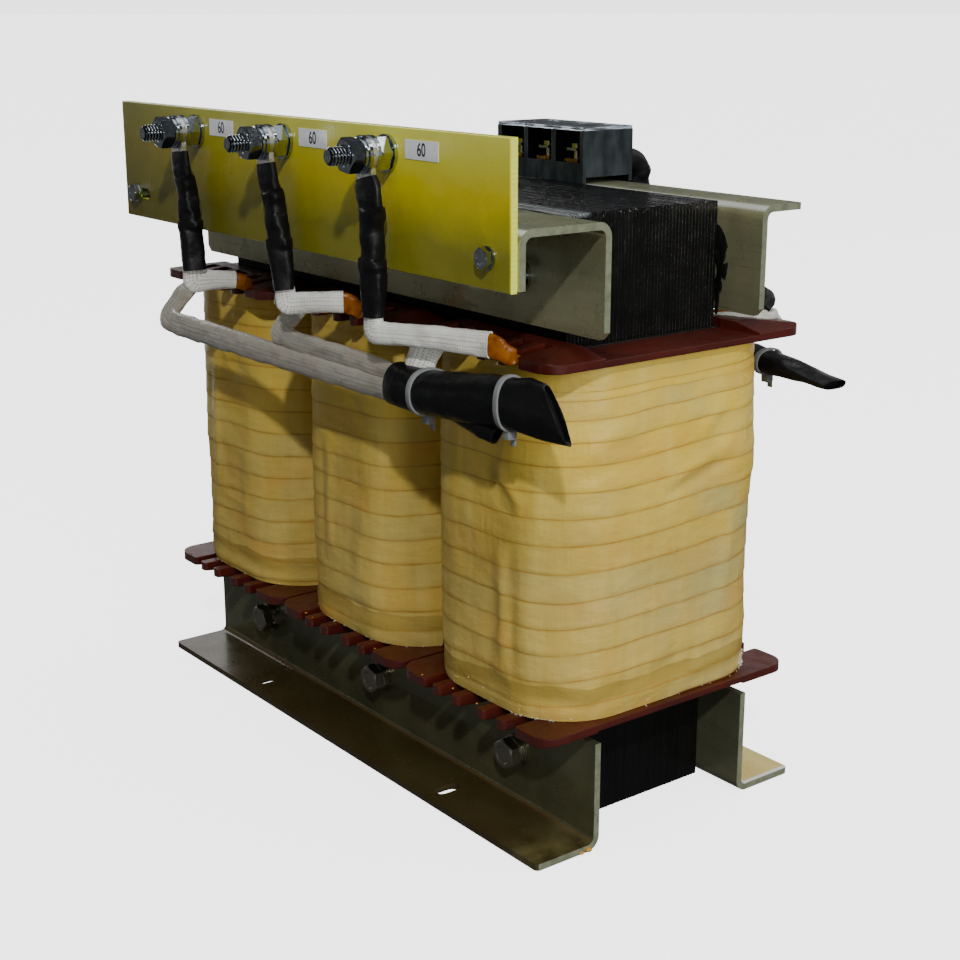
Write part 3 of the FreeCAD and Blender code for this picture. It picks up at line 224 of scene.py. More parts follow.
def olive_steel():
    """Steel with a thin olive coat under clear varnish, which has gathered brown near the feet. Painted
    highlights lie along the front bends of the upper clamps and along the near and inner edges of the rear
    foot, painted shade on the upward faces of the upper clamps; the rear foot's gold varnish is lightened
    into a painted reflection.
    """
    f = Finish("olive_steel", (0.1, 0.095, 0.055), Coat_Roughness=0.06)
    spot = f.place()
    x, y, z = f.parts(spot)
    side, back, up = f.facing()
    front = y < 0.0
    cut = (abs(side) > 0.9) * (abs(x) > 190)
    patches = f.cloud(spot, 0.03, 3, (0.35, 1, 1))
    coat = patches.ramp((0.3, (0.27, 0.275, 0.16)), (0.5, (0.36, 0.36, 0.2)), (0.7, (0.46, 0.44, 0.24)))
    smear = f.cloud(spot, 0.045, 3, (1, 1, 0.25)).spread(0.45, 0.75, 0.0, 0.3)
    streaks = f.cloud(spot, 0.3, 5, (0.03, 1, 1)).spread(0.45, 0.72, 0.0, 0.5)
    rolled = f.cloud(spot, 0.5, 4, (0.05, 1.5, 1.5)).spread(0.6, 0.72, 0.0, 0.45)
    below = z.spread(68, 75, 1.0, 0.0)
    dark = f.cloud(spot, 0.025, 4).tones(0.35, (0.1, 0.105, 0.055), 0.7, (0.19, 0.185, 0.09))
    foot = z.spread(4.5, 9, 1.0, 0.0) * front
    brown = f.cloud(spot, 0.03, 5, (0.5, 1, 1)).tones(0.35, (0.04, 0.026, 0.007), 0.7, (0.06, 0.045, 0.014))
    bend = abs(up).ramp((0.5, 0.0), (0.68, 1.0), (0.8, 0.0)) * (z < 14)
    sole = z < 6
    gathered = x.spread(170, 203) * f.cloud(spot, 0.05, 4).spread(0.35, 0.65) * sole
    # The rear foot is gold varnish, its tone lightened into a painted reflection of the backdrop.
    rear_foot = sole * (y > 60)
    # Painted highlight along the near end and the inner edge of the rear foot.
    painted_edge_highlight = rear_foot * (x > CLAMP_END - 3).at_least(y < CORE_FACE + 9)
    # Painted shade: the upward faces of the upper clamps get a darker tone of their own.
    top = (up * z > 200) * 0.6
    # Painted highlight along the front bends of the upper clamps.
    painted_bend_highlight = (back * -1).ramp((0.3, 0.0), (0.45, 0.8), (0.7, 0.8), (0.85, 0.0)) * (z > 300) * (up > 0.2)
    coat = coat.under(
        (smear, (0.1, 0.09, 0.04)), (streaks, (0.36, 0.35, 0.22)), (rolled, (0.1, 0.1, 0.06)),
        (below * front, dark), (below * (y > 0.0) * 0.6, (0.07, 0.075, 0.05)), (foot, brown),
        (bend * 0.8, (0.14, 0.07, 0.014)),
        (gathered, patches.tones(0.3, (0.12, 0.11, 0.05), 0.7, (0.18, 0.15, 0.05))),
        (rear_foot, patches.tones(0.35, (0.72, 0.54, 0.12), 0.7, (0.95, 0.76, 0.26))),
        (painted_edge_highlight, (0.95, 0.93, 0.85)),
        (top, patches.tones(0.3, (0.2, 0.21, 0.13), 0.7, (0.36, 0.37, 0.24))),
        (painted_bend_highlight, (0.8, 0.82, 0.75)),
        (cut, f.cloud(spot, 0.2, 4).tones(0.35, (0.19, 0.21, 0.13), 0.65, (0.28, 0.3, 0.2))))
    feet = foot.at_least(rear_foot)
    f.paint(Base_Color=coat, Coat_Weight=f.blend(feet, 0.35, 0.08),
            Metallic=cut.at_least(top).at_least(feet).spread(0.0, 1.0, 0.5, 0.1),
            Roughness=f.cloud(spot, 0.04, 5).ramp((0.3, 0.22), (0.55, 0.32), (0.75, 0.42)),
            Normal=f.relief(f.cloud(spot, 0.04, 2, (0.15, 1, 1)), 0.4))
    return f.material


def olive_board():
    """Resin board, pale at its sawn edges. Where nothing stands behind it, light let through is painted into
    its upper part as a glow; a painted sheen lies along its top and painted shade grows towards its far end.
    """
    f = Finish("olive_board", (0.33, 0.29, 0.012), IOR=1.5, Specular_IOR_Level=0.4)
    spot = f.place()
    x, y, z = f.parts(spot)
    cloud = f.cloud(spot, 1.0, 4, (0.02, 1, 0.05))
    # Painted light: a glowing tone for the part above the steel, standing in for light let through the board,
    # and the board's duller tone where steel stands behind it.
    painted_backlit_tone = cloud.tones(0.3, (0.74, 0.6, 0.003), 0.7, (0.84, 0.72, 0.008))
    dull = cloud.tones(0.3, (0.26, 0.24, 0.012), 0.7, (0.33, 0.3, 0.02))
    border = f.cloud(spot, 0.03, 3) * 14 + z
    # Painted shade, darker towards the far end of the board.
    far = (f.cloud(spot, 0.012, 3) * 80 + x).spread(-170, 150, 0.85, 0.0)
    sawn = f.cloud(spot, 0.2, 4, (0.3, 1, 0.3)).tones(0.35, (0.88, 0.98, 0.08), 0.65, (0.95, 1.0, 0.16))
    # Painted glow above the steel, and a painted sheen along the top edge.
    face = dull.under((border.spread(344, 372), painted_backlit_tone), (z.spread(366, 394, 0.0, 0.95), (0.95, 0.95, 0.12)),
                      (far, (0.12, 0.1, 0.006)), (abs(f.facing()[1]) < 0.6, sawn))
    weave = (x * 2.4).sine() * (z * 2.4).sine()
    f.paint(Base_Color=face, Roughness=f.cloud(spot, 0.03, 4).spread(0.3, 0.7, 0.14, 0.28),
            Normal=f.relief(weave, 0.04, f.relief(f.cloud(spot, 0.03, 3), 0.6)))
    return f.material


def bluish_zinc():
    """Bright zinc plating; the lower bolts are dulled by varnish, and painted shade darkens the grooves of
    the studs' threads.
    """
    f = Finish("bluish_zinc", (0.42, 0.47, 0.52), Metallic=1.0)
    spot = f.place()
    x, y, z = f.parts(spot)
    tint = f.cloud(spot, 0.25, 4).ramp((0.3, (0.36, 0.42, 0.47)), (0.6, (0.52, 0.56, 0.58)),
                                       (0.8, (0.5, 0.5, 0.45)))
    low = z.spread(70, 90, 1.0, 0.0)
    # Painted shade in the grooves of the studs' threads, where they stand out in front of the board.
    across = x.to_and_fro(STUD_PITCH / 2)
    rise = z - STUD_Z
    radius = f.maths("SQRT", across * across + rise * rise)
    thread = (radius * 0.1).ramp((0.33, 0.0), (0.36, 1.0), (0.42, 1.0), (0.475, 0.0)) * (y < -BOARD_FRONT)
    f.paint(Base_Color=tint.under((thread, (0.03, 0.035, 0.04)), (low, (0.32, 0.3, 0.23))),
            Roughness=low * 0.22 + f.cloud(spot, 0.5, 4).spread(0.3, 0.75, 0.05, 0.17),
            Normal=f.relief(f.cloud(spot, 0.5, 3), 0.02))
    return f.material


def tinned_copper():
    f = Finish("tinned_copper", (0.62, 0.61, 0.58), Metallic=1.0)
    spot = f.place()
    f.paint(Roughness=f.cloud(spot, 0.4, 4).spread(0.3, 0.7, 0.22, 0.42),
            Normal=f.relief(f.cloud(spot, 0.8, 4), 0.08, f.soft_edges(0.3)))
    return f.material


def maroon_moulding():
    """Red-brown moulded resin under an uneven coat of clear varnish."""
    f = Finish("maroon_moulding", (0.12, 0.018, 0.014), IOR=1.5, Specular_IOR_Level=0.2, Coat_Roughness=0.07)
    spot = f.place()
    amber = f.cloud(spot, 0.05, 5).spread(0.6, 0.8, 0.0, 0.3)
    base = f.cloud(spot, 0.03, 3).tones(0.3, (0.055, 0.007, 0.004), 0.7, (0.09, 0.012, 0.006))
    f.paint(Base_Color=base.under((amber, (0.085, 0.017, 0.009))),
            Coat_Weight=f.blend(abs(f.facing()[2]) > 0.97, 0.9, 0.1),
            Roughness=f.cloud(spot, 0.08, 5).spread(0.3, 0.7, 0.3, 0.5),
            Normal=f.relief(f.cloud(spot, 0.09, 5), 0.5, f.soft_edges(1.3)))
    return f.material


def plain(name, colour, roughness, bump=0.05, metallic=0.0, spread=0.12):
    """One colour with slight unevenness in tone, gloss and surface."""
    f = Finish(name, colour, Metallic=metallic)
    spot = f.place()
    low, high = (tuple(c * k for c in colour) for k in (1 - spread, 1 + spread))
    f.paint(Base_Color=f.cloud(spot, 0.15, 4).tones(0.3, low, 0.7, high),
            Roughness=f.cloud(spot, 0.3, 4).spread(0.3, 0.7, roughness * 0.8, roughness * 1.25),
            Normal=f.relief(f.cloud(spot, 0.5, 4), bump, f.soft_edges(0.3)))
    return f.material


def cream_tape():
    """Varnished woven tape, wound in laps, with painted shade at the edges of the laps and in a band above
    its foot. The UV map runs once round the coil, and up it in laps.
    """
    f = Finish("cream_tape", (0.7, 0.55, 0.26), IOR=1.45, Specular_IOR_Level=0.35)
    spot = f.place()
    x, y, z = f.parts(spot)
    across, along = f.parts(f.add("UVMap"))[:2]
    turns = along - across
    number = f.maths("FLOOR", turns)
    lap = f.add("TexWhiteNoise", {"W": number}, "Value", noise_dimensions="1D")
    own = f.add("VectorMath", [spot, f.add("CombineXYZ", {"Z": number * 60})], operation="ADD")
    slow = f.cloud(spot, 0.014, 3)
    upper = slow.tones(0.3, (0.86, 0.57, 0.05), 0.7, (0.9, 0.64, 0.1))
    lower = slow.tones(0.3, (0.64, 0.44, 0.08), 0.7, (0.72, 0.53, 0.13))
    orange = f.cloud(own, 0.02, 3, (0.7, 0.7, 1.2)).spread(0.5, 0.72, 0.0, 0.55)
    cool = f.cloud(own, 0.018, 3, (1, 1, 0.4)).spread(0.45, 0.7, 0.0, 0.6) * y.spread(-60, 50, 0.5, 1.3)
    streak = f.cloud(spot, 1.0, 3, (0.045, 0.045, 0.008)).spread(0.48, 0.72, 0.0, 0.45)
    # Painted shade: a darker band a little above the foot of the tape.
    foot = ((f.cloud(spot, 0.03, 2) * 10 + z) * 0.01).ramp((0.86, 0.0), (0.93, 0.8), (1.0, 0.6), (1.0, 0.0))
    worn = f.cloud(own, 0.05, 4, (1, 1, 3)).spread(0.3, 0.6, 0.4, 0.95)
    # A thin orange-brown line at each lap's edge, with a faint painted shadow just below it.
    line = f.maths("FRACT", turns).ramp((0.0, 0.8), (0.04, 0.65), (0.075, 0.0), (0.94, 0.0), (1.0, 0.2))
    tone = lower.under(
        ((slow * 90 + z).spread(195, 275), upper), (lap * 0.2, (0.6, 0.42, 0.08)),
        (orange, (0.78, 0.4, 0.07)), (cool, (0.52, 0.48, 0.2)), (streak, (0.88, 0.7, 0.2)),
        (foot, (0.36, 0.24, 0.04)), (line * worn, (0.5, 0.22, 0.02)))
    crease = f.cloud(own, 1.0, 4, (0.05, 0.05, 0.12)) + f.cloud(spot, 1.4, 3) * 0.08
    pucker = f.cloud(spot, 1.0, 3, (0.2, 0.2, 0.04))
    f.paint(Base_Color=tone, Roughness=f.cloud(spot, 0.05, 4).spread(0.35, 0.7, 0.34, 0.55),
            Normal=f.relief(crease, 1.1, f.relief(pucker, 0.5)))
    return f.material


def woven_sleeving(name, light, dark, gloss, strands=12.0, stains=None):
    """Braided glass sleeving. The UV map runs once round the sleeve, and along it in millimetres."""
    f = Finish(name, light, Roughness=gloss, Sheen_Weight=0.15)
    across, along = f.parts(f.add("UVMap"))[:2]
    spot = f.place()
    ribs = (across * (strands * 2 * TAU)).sine()
    rows = ((along + f.cloud(spot, 0.2, 3) * 0.8) * (TAU / 1.5)).sine()
    gaps = ribs.spread(0.15, 0.9) * rows.spread(0.0, 0.6)
    stain = f.cloud(spot, 0.05, 4).spread(0.42, 0.72, 0.0, 0.55)
    soil = f.cloud(spot, 0.09, 4, (1, 1, 2)).spread(0.55, 0.8, 0.0, 0.6)
    soiled = tuple(c * 0.7 for c in dark)
    f.paint(Base_Color=f.blend(gaps * 0.75, light, dark).under((stain, stains or dark), (soil, soiled)),
            Normal=f.relief(gaps.spread(0.0, 1.0, 1.0, 0.0), 0.35, f.relief(f.cloud(spot, 0.16, 4), 1.0)))
    return f.material


def shrink_black(name, roughness=0.36):
    f = Finish(name, (0.006, 0.006, 0.0065), IOR=1.45, Specular_IOR_Level=0.25)
    spot = f.place()
    f.paint(Roughness=f.cloud(spot, 0.1, 4).spread(0.3, 0.7, roughness * 0.75, roughness * 1.3),
            Normal=f.relief(f.cloud(spot, 1.5, 3), 0.05, f.relief(f.cloud(spot, 0.09, 4), 1.0)))
    return f.material


def orange_varnish():
    f = Finish("orange_varnish", (0.42, 0.13, 0.02), Roughness=0.25, IOR=1.5, Specular_IOR_Level=0.25)
    spot = f.place()
    f.paint(Base_Color=f.cloud(spot, 0.15, 4).tones(0.3, (0.17, 0.035, 0.002), 0.7, (0.36, 0.12, 0.006)),
            Normal=f.relief(f.cloud(spot, 0.2, 3), 0.5))
    return f.material


def black_moulding():
    """Glossy black resin; its cells behind the cover are darkened with painted shade."""
    f = Finish("black_moulding", (0.016, 0.022, 0.024), Roughness=0.2, IOR=1.5)
    spot = f.place()
    x, y, z = f.parts(spot)
    # Painted shade: the cells behind the cover are made near black, with little shine.
    cells = (y > CORE_FACE - 1) * (x < 61)
    veil = f.cloud(spot, 0.12, 4, (1, 1, 0.35))
    veil = veil.tones(0.35, (0.015, 0.021, 0.023), 0.65, (0.044, 0.056, 0.058))
    f.paint(Base_Color=f.blend(cells, veil, 0.003), Specular_IOR_Level=f.blend(cells, 0.4, 0.1),
            Normal=f.relief(f.cloud(spot, 0.1, 3), 0.3, f.soft_edges(0.3)))
    return f.material


def clear_cover():
    """Clear plate with a bluish cast, scuffed."""
    f = Finish("clear_cover", (0.75, 0.86, 0.95), IOR=1.49, Transmission_Weight=0.9)
    f.paint(Roughness=f.cloud(f.place(), 0.08, 5).spread(0.4, 0.75, 0.05, 0.3))
    return f.material


# Colour and roughness, then the depth of the bumps, how metallic it is and how far the tone varies.
PLAIN = {
    "fibre_tube": ((0.012, 0.008, 0.006), 0.4), "enamelled_copper": ((0.35, 0.12, 0.04), 0.35),
    "barrier_paper": ((0.6, 0.5, 0.25), 0.7), "grey_nylon": ((0.26, 0.27, 0.27), 0.35),
    "figure_ink": ((0.03, 0.03, 0.035), 0.6), "amber_drop": ((0.5, 0.25, 0.02), 0.15, 0.02),
    "loose_thread": ((0.85, 0.8, 0.62), 0.4, 0.02), "brass_strip": ((0.5, 0.26, 0.07), 0.25, 0.1, 1.0),
    "silver_label": ((0.98, 1.0, 1.0), 0.2, 0.02, 0.0, 0.05),
}
FINISHES = {name: plain(name, *values) for name, values in PLAIN.items()}
for make in (varnished_laminations, olive_board, tinned_copper, maroon_moulding, cream_tape, orange_varnish,
             black_moulding, clear_cover):
    FINISHES[make.__name__] = make()
FINISHES.update({
    "olive_painted_steel": olive_steel(),
    "zinc_steel": bluish_zinc(),
    "white_sleeving": woven_sleeving("white_sleeving", (1.0, 1.0, 0.92), (0.42, 0.39, 0.3), 0.5),
    "grey_sleeving": woven_sleeving("grey_sleeving", (0.46, 0.44, 0.36), (0.15, 0.14, 0.11), 0.32, 11.0,
                                    (0.44, 0.33, 0.25)),
    "black_shrink": shrink_black("black_shrink"),
    "black_sleeve": shrink_black("black_sleeve", 0.5),
})

# How far the edges of some solids are rounded, in millimetres.
SOFTENED = {f"{end}_flange_{coil}": 0.9 for end in ("top", "bottom") for coil in COILS}
SOFTENED.update({f"{end}_clamp_{side}": 0.6 for end in ("upper", "lower") for side in ("front", "rear")})
SOFTENED.update({"terminal_board": 0.5, "terminal_block": 0.4})
SLOT_OF = {entry["node"]: entry["material_slot"] for entry in frame["record"]["subparts"]}
for name, node in frame["nodes"].items():
    node.data.materials.clear()
    node.data.materials.append(FINISHES[SLOT_OF[name]])
    node.data.shade_smooth()
    node.data.set_sharp_from_angle(angle=math.radians(28))
    if name in SOFTENED:
        rounding = node.modifiers.new("rounding", "BEVEL")
        rounding.width = SOFTENED[name] * MM
        rounding.segments = 2
        rounding.limit_method = "ANGLE"
        rounding.angle_limit = math.radians(50)
        rounding.harden_normals = False


# Light, floor and camera

def placed(name, data, spot=(0, 0, 0)):
    """An object with this data, linked into the scene."""
    thing = bpy.data.objects.new(name, data)
    thing.location = spot
    bpy.context.collection.objects.link(thing)
    return thing


def area_light(name, spot, target, width, height, power):
    lamp = bpy.data.lights.new(name, "AREA")
    lamp.shape = "RECTANGLE"
    lamp.size = width
    lamp.size_y = height
    lamp.energy = power
    aim = (Vector(target) - Vector(spot)).to_track_quat("-Z", "Y")
    placed(name, lamp, spot).rotation_euler = aim.to_euler()


# Brightness of the sky from the ground below, at 0, to the point overhead, at 1: dim all round but
# for a band at the horizon, and bright overhead.
SKY = ((0.0, 0.025), (0.494, 0.025), (0.4955, 0.7), (0.5035, 0.7), (0.507, 0.015), (0.87, 0.015),
       (0.95, 0.34), (1.0, 0.38))
SEEN_SKY = (0.67, 0.67, 0.67)


def sky():
    """A studio round the object. The camera sees one plain tone of it, which the floor runs into."""
    world = bpy.data.worlds.new("studio")
    world.use_nodes = True
    bpy.context.scene.world = world
    nodes = Nodes(world.node_tree)
    height = nodes.parts(nodes.add("TexCoord", output="Generated"))[2] * 0.5 + 0.5
    glow = height.ramp(*((place, (0.98 * tone, tone, 1.03 * tone)) for place, tone in SKY))
    seen = nodes.add("LightPath", output="Is Camera Ray")
    background = world.node_tree.nodes["Background"]
    nodes.feed(background.inputs["Color"], nodes.blend(seen, glow, SEEN_SKY))
    nodes.feed(background.inputs["Strength"], 4.0)


def glowing_sheet(name, size, place, colour, strength, unseen_by, **sockets):
    sheet = bpy.data.meshes.new(name)
    bm = bmesh.new()
    bmesh.ops.create_grid(bm, x_segments=1, y_segments=1, size=0.5)
    bmesh.ops.scale(bm, vec=(*size, 1), verts=bm.verts)
    bmesh.ops.transform(bm, matrix=place, verts=bm.verts)
    bm.to_mesh(sheet)
    bm.free()
    paper = Finish(name + "_paper", colour, Emission_Color=(1, 1, 1), Emission_Strength=strength, **sockets)
    sheet.materials.append(paper.material)
    card = placed(name, sheet)
    for ray in unseen_by:
        setattr(card, "visible_" + ray, False)


def reflector(name, spot, target, width, height, strength):
    """A glowing card that shows only in reflections."""
    turn = (Vector(spot) - Vector(target)).to_track_quat("-Z", "Y").to_matrix().to_4x4()
    glowing_sheet(name, (width, height), Matrix.Translation(spot) @ turn, (0, 0, 0), strength,
                  ("camera", "diffuse", "transmission", "shadow"))


def studio():
    sky()
    area_light("key", (2.69, -2.06, 2.73), (0.05, 0, 0.2), 0.15, 0.15, 67)
    area_light("side", (1.6, -0.2, 0.6), (0.15, 0, 0.2), 0.5, 0.7, 11.5)
    area_light("rear", (0.3, 3.0, 1.3), (0, 0, 0.2), 1.0, 1.0, 11)
    # The backdrop low behind the object, one card at the left, one along the upper edges, and the lamp's box.
    reflector("backdrop_card", (-0.62, 0.48, 0.19), (0, 0, 0.19), 1.7, 0.4, 1.3)
    reflector("left_card", (-1.3, 0.1, 1.05), (0, 0, 0.3), 0.7, 0.5, 5.0)
    reflector("edge_card", (0.3, 0.85, 1.3), (0.1, 0, 0.3), 1.2, 0.4, 3.5)
    reflector("lamp_card", (2.5, -1.9, 2.5), (0, 0, 0.2), 1.0, 1.0, 5.0)
    glowing_sheet("floor", (300, 300), Matrix.Translation((0, 0, -0.0005)), (0.9, 0.9, 0.9), 2.6,
                  ("diffuse", "glossy"), Roughness=0.9)
    eye = bpy.data.cameras.new("camera")
    eye.lens = 61.65
    eye.sensor_width = 36
    eye.clip_start = 0.05
    eye.clip_end = 500
    camera = placed("camera", eye, (0.8267, -0.6142, 0.4521))
    camera.rotation_euler = (math.radians(90 - 15.96), 0, math.radians(52.43))
    bpy.context.scene.camera = camera


# Shapes

def finish_piece(bm, name, finish, replaced=(), crease=35):
    """Turns a mesh drawn in millimetres into a piece of the object."""
    bmesh.ops.scale(bm, vec=(MM, MM, MM), verts=bm.verts)
    mesh = bpy.data.meshes.new(name)
    bm.to_mesh(mesh)
    bm.free()
    mesh.materials.append(FINISHES[finish])
    mesh.shade_smooth()
    mesh.set_sharp_from_angle(angle=math.radians(crease))
    piece = placed(name, mesh)
    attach(piece, "root")
    if replaced:
        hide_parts(*replaced)


def other_side(vertex, fresh):
    """The copy of a vertex that an extrusion has just made."""
    return next(edge.other_vert(vertex) for edge in vertex.link_edges if edge.other_vert(vertex) in fresh)


def loft(bm, rings, lengths=None):
    """A skin through rings of equal count, closed at both ends. With lengths, its UV map runs round and
    along it; a length is one number for a ring or a list with one for each of its points."""
    count = len(rings[0])
    layer = bm.loops.layers.uv.verify() if lengths else None
    ring = bmesh.ops.create_circle(bm, segments=count, radius=1)["verts"]
    edges = list({edge for vertex in ring for edge in vertex.link_edges})
    rows = [ring]
    for _ in rings[1:]:
        made = bmesh.ops.extrude_edge_only(bm, edges=edges)["geom"]
        fresh = {item for item in made if isinstance(item, bmesh.types.BMVert)}
        ring = [other_side(vertex, fresh) for vertex in ring]
        edges = [item for item in made if isinstance(item, bmesh.types.BMEdge) and set(item.verts) <= fresh]
        rows.append(ring)
    for row, spots in zip(rows, rings):
        for vertex, spot in zip(row, spots):
            vertex.co = spot
    if lengths:
        where = {}
        for row, length in zip(rows, lengths):
            for i, vertex in enumerate(row):
                where[vertex] = (i / count, length[i] if isinstance(length, list) else length)
        for face in {face for row in rows for vertex in row for face in vertex.link_faces}:
            spots = [where[loop.vert] for loop in face.loops]
            wraps = max(u for u, v in spots) > 0.5 and min(u for u, v in spots) < 0.25
            for loop, (u, v) in zip(face.loops, spots):
                loop[layer].uv = (u + 1 if wraps and u < 0.25 else u, v)
    for row in (rows[0], rows[-1]):
        bmesh.ops.contextual_create(bm, geom=row)
    bmesh.ops.recalc_face_normals(bm, faces=bm.faces)


def smooth_share(t):
    return t * t * (3 - 2 * t)


def rounded_route(points, ease=0.45, step=1.5):
    """Spots along straight runs joined by arcs, each with its direction, its distance and its place
    counted in route points."""
    spots = [Vector(point) for point in points]
    runs = []
    start, start_mark = spots[0], 0.0
    for k, (behind, here, ahead) in enumerate(zip(spots, spots[1:], spots[2:]), 1):
        back, on = behind - here, ahead - here
        set_back = ease * min(back.length, on.length)
        first = here + back.normalized() * set_back
        last = here + on.normalized() * set_back
        runs.append((start, first, None, start_mark, k - 0.001))
        runs.append((first, last, here, k - 0.001, k + 0.001))
        start, start_mark = last, k + 0.001
    runs.append((start, spots[-1], None, start_mark, len(spots) - 1))
    path = []
    for first, last, corner, low, high in runs:
        pieces = max(2, round((last - first).length / step))
        for n in range(pieces):
            t = n / pieces
            if corner is None:
                spot = first.lerp(last, t)
            else:
                spot = first.lerp(corner, t).lerp(corner.lerp(last, t), t)
            path.append((spot, low + (high - low) * t))
    path.append((spots[-1], float(len(spots) - 1)))
    found = []
    travelled = 0.0
    for n, (spot, mark) in enumerate(path):
        ahead = path[min(n + 1, len(path) - 1)][0]
        behind = path[max(n - 1, 0)][0]
        if n:
            travelled += (spot - behind).length
        found.append((spot, (ahead - behind).normalized(), travelled, mark))
    return found


def between(values, mark):
    """A value, number or vector, eased between the ones set at the route's points."""
    low = min(int(mark), len(values) - 2)
    t = smooth_share(min(max(mark - low, 0.0), 1.0))
    first, second = values[low], values[low + 1]
    if isinstance(first, (int, float)):
        return first + (second - first) * t
    return Vector(first).lerp(Vector(second), t)


def leaning_planes(path, reach):
    """For each spot of a path its direction averaged over a reach, so that rings set square to it
    lean into a bend and don't cross."""
    planes = []
    for spot, way, travelled, mark in path:
        total = Vector()
        for other, direction, distance, place in path:
            share = 1 - abs(distance - travelled) / reach
            if share > 0:
                total += direction * share
        planes.append(total.normalized())
    return planes


def oval_point(turn, square):
    """A point of a rounded square of half size 1; square 2 makes a circle."""
    across, up = math.cos(turn), math.sin(turn)
    return (math.copysign(abs(across) ** (2 / square), across),
            math.copysign(abs(up) ** (2 / square), up))


def shrunk(ring, wall):
    middle = sum(ring, Vector()) / len(ring)
    return [middle + (spot - middle) * max(1 - wall / (spot - middle).length, 0.1) for spot in ring]


def add_rims(rings, lengths, walls, depth=5.0):
    """Open mouths: where an end has a wall, the skin turns inwards and ends in a floor further in."""
    for wall in walls:
        if wall:
            inner = shrunk(rings[0], wall)
            inward = (sum(rings[1], Vector()) - sum(rings[0], Vector())).normalized() * depth
            rings[:0] = [[spot + inward for spot in inner], inner]
            lengths[:0] = [lengths[0]] * 2
        rings.reverse()
        lengths.reverse()


def draw_tube(bm, stations, sides=28, square=2.5, lump=0.3, seed=0.0, ease=0.3, step=1.5, reach=7.0,
              walls=(0, 0)):
    """A soft flattened tube. A station is (point, flat side's normal, half width, half thickness)."""
    points, normals, widths, thicknesses = zip(*stations)
    path = rounded_route(points, ease, step)
    rings = []
    lengths = []
    for (spot, way, travelled, mark), plane in zip(path, leaning_planes(path, reach)):
        out = between(normals, mark)
        out = (out - way * out.dot(way)).normalized()
        side = way.cross(out)
        half_width, half_thick = between(widths, mark), between(thicknesses, mark)
        ring = []
        for n in range(sides):
            turn = TAU * n / sides
            across, up = oval_point(turn, square)
            grain = Vector((travelled * 0.09, 1.3 * math.cos(turn), 1.3 * math.sin(turn) + seed))
            uneven = lump * noise.noise(grain) + 0.4 * lump * noise.noise(grain * 3.1)
            offset = side * across * (half_width + uneven) + out * up * (half_thick + uneven)
            ring.append(spot + offset - way * (offset.dot(plane) / max(way.dot(plane), 0.4)))
        rings.append(ring)
        lengths.append(travelled)
    add_rims(rings, lengths, walls)
    loft(bm, rings, lengths)


def soft_piece(name, finish, replaced, *tubes, **shape):
    """One piece from one or more soft tubes, each a list of stations."""
    bm = bmesh.new()
    for number, stations in enumerate(tubes):
        draw_tube(bm, stations, seed=7.0 * number + len(name), **shape)
    finish_piece(bm, name, finish, replaced, crease=60)


def draw_turned(bm, spot, way, rows, turn=0.0, sides=48):
    """A skin about an axis. A row is (radius, height): each a number or a function of the angle."""
    way = way.normalized()
    side = way.orthogonal().normalized() if abs(way.y) < 0.9 else Vector((1, 0, 0))
    up = way.cross(side)
    rings = []
    for radius, height in rows:
        ring = []
        for n in range(sides):
            angle = TAU * n / sides
            ray = side * math.cos(angle + turn) + up * math.sin(angle + turn)
            far = radius(angle) if callable(radius) else radius
            high = height(angle) if callable(height) else height
            ring.append(spot + ray * far + way * high)
        rings.append(ring)
    loft(bm, rings)


# Nuts, bolts, washers and threads

def hexagon_radius(flats):
    def radius(angle):
        return flats / 2 / math.cos((angle + math.pi / 6) % (math.pi / 3) - math.pi / 6)
    return radius


def draw_hexagon(bm, spot, way, flats, height, turn=0.0, hole=0.0, both=True):
    """A hexagon with its corners turned down at 30 degrees, at both ends or the far one. Without a hole
    its top has a shallow dish."""
    across = hexagon_radius(flats)
    face = 0.475 * flats

    def drop(angle):
        return (across(angle) - face) * math.tan(math.radians(30))
    if hole:
        rows = [(hole, height - 1.1), (hole + 0.7, height), (face, height)]
    else:
        rows = [(0.02, height - 0.35), (0.62 * face, height - 0.35), (0.7 * face, height), (face, height)]
    rows.append((across, lambda angle: height - drop(angle)))
    rows += [(across, drop), (face, 0.0)] if both else [(across, 0.0)]
    rows += [(hole + 0.7, 0.0), (hole, 1.1)] if hole else [(0.02, 0.0)]
    draw_turned(bm, spot, way, rows, turn, sides=60)


def draw_thread(bm, spot, way, radius, start, end, pitch=1.5, turn=0.0):
    """A screw's thread from start to end along its axis, with a sloped tip."""
    depth = 0.56 * pitch
    steps = round((end - start) / (pitch / 7))

    def crest(height):
        def far(angle):
            share = (height / pitch - angle / TAU) % 1
            ridge = min(1.25 * abs(2 * share - 1), 1)
            tip = radius - depth - 0.3 + max(end - height, 0)
            return min(radius - depth * (1 - ridge), tip)
        return far
    rows = [(0.02, start)]
    for n in range(steps + 1):
        height = start + (end - start) * n / steps
        rows.append((crest(height), height))
    rows += [(radius - depth - 0.9, end + 0.02), (0.02, end - 0.3)]
    draw_turned(bm, spot, way, rows, turn, sides=36)


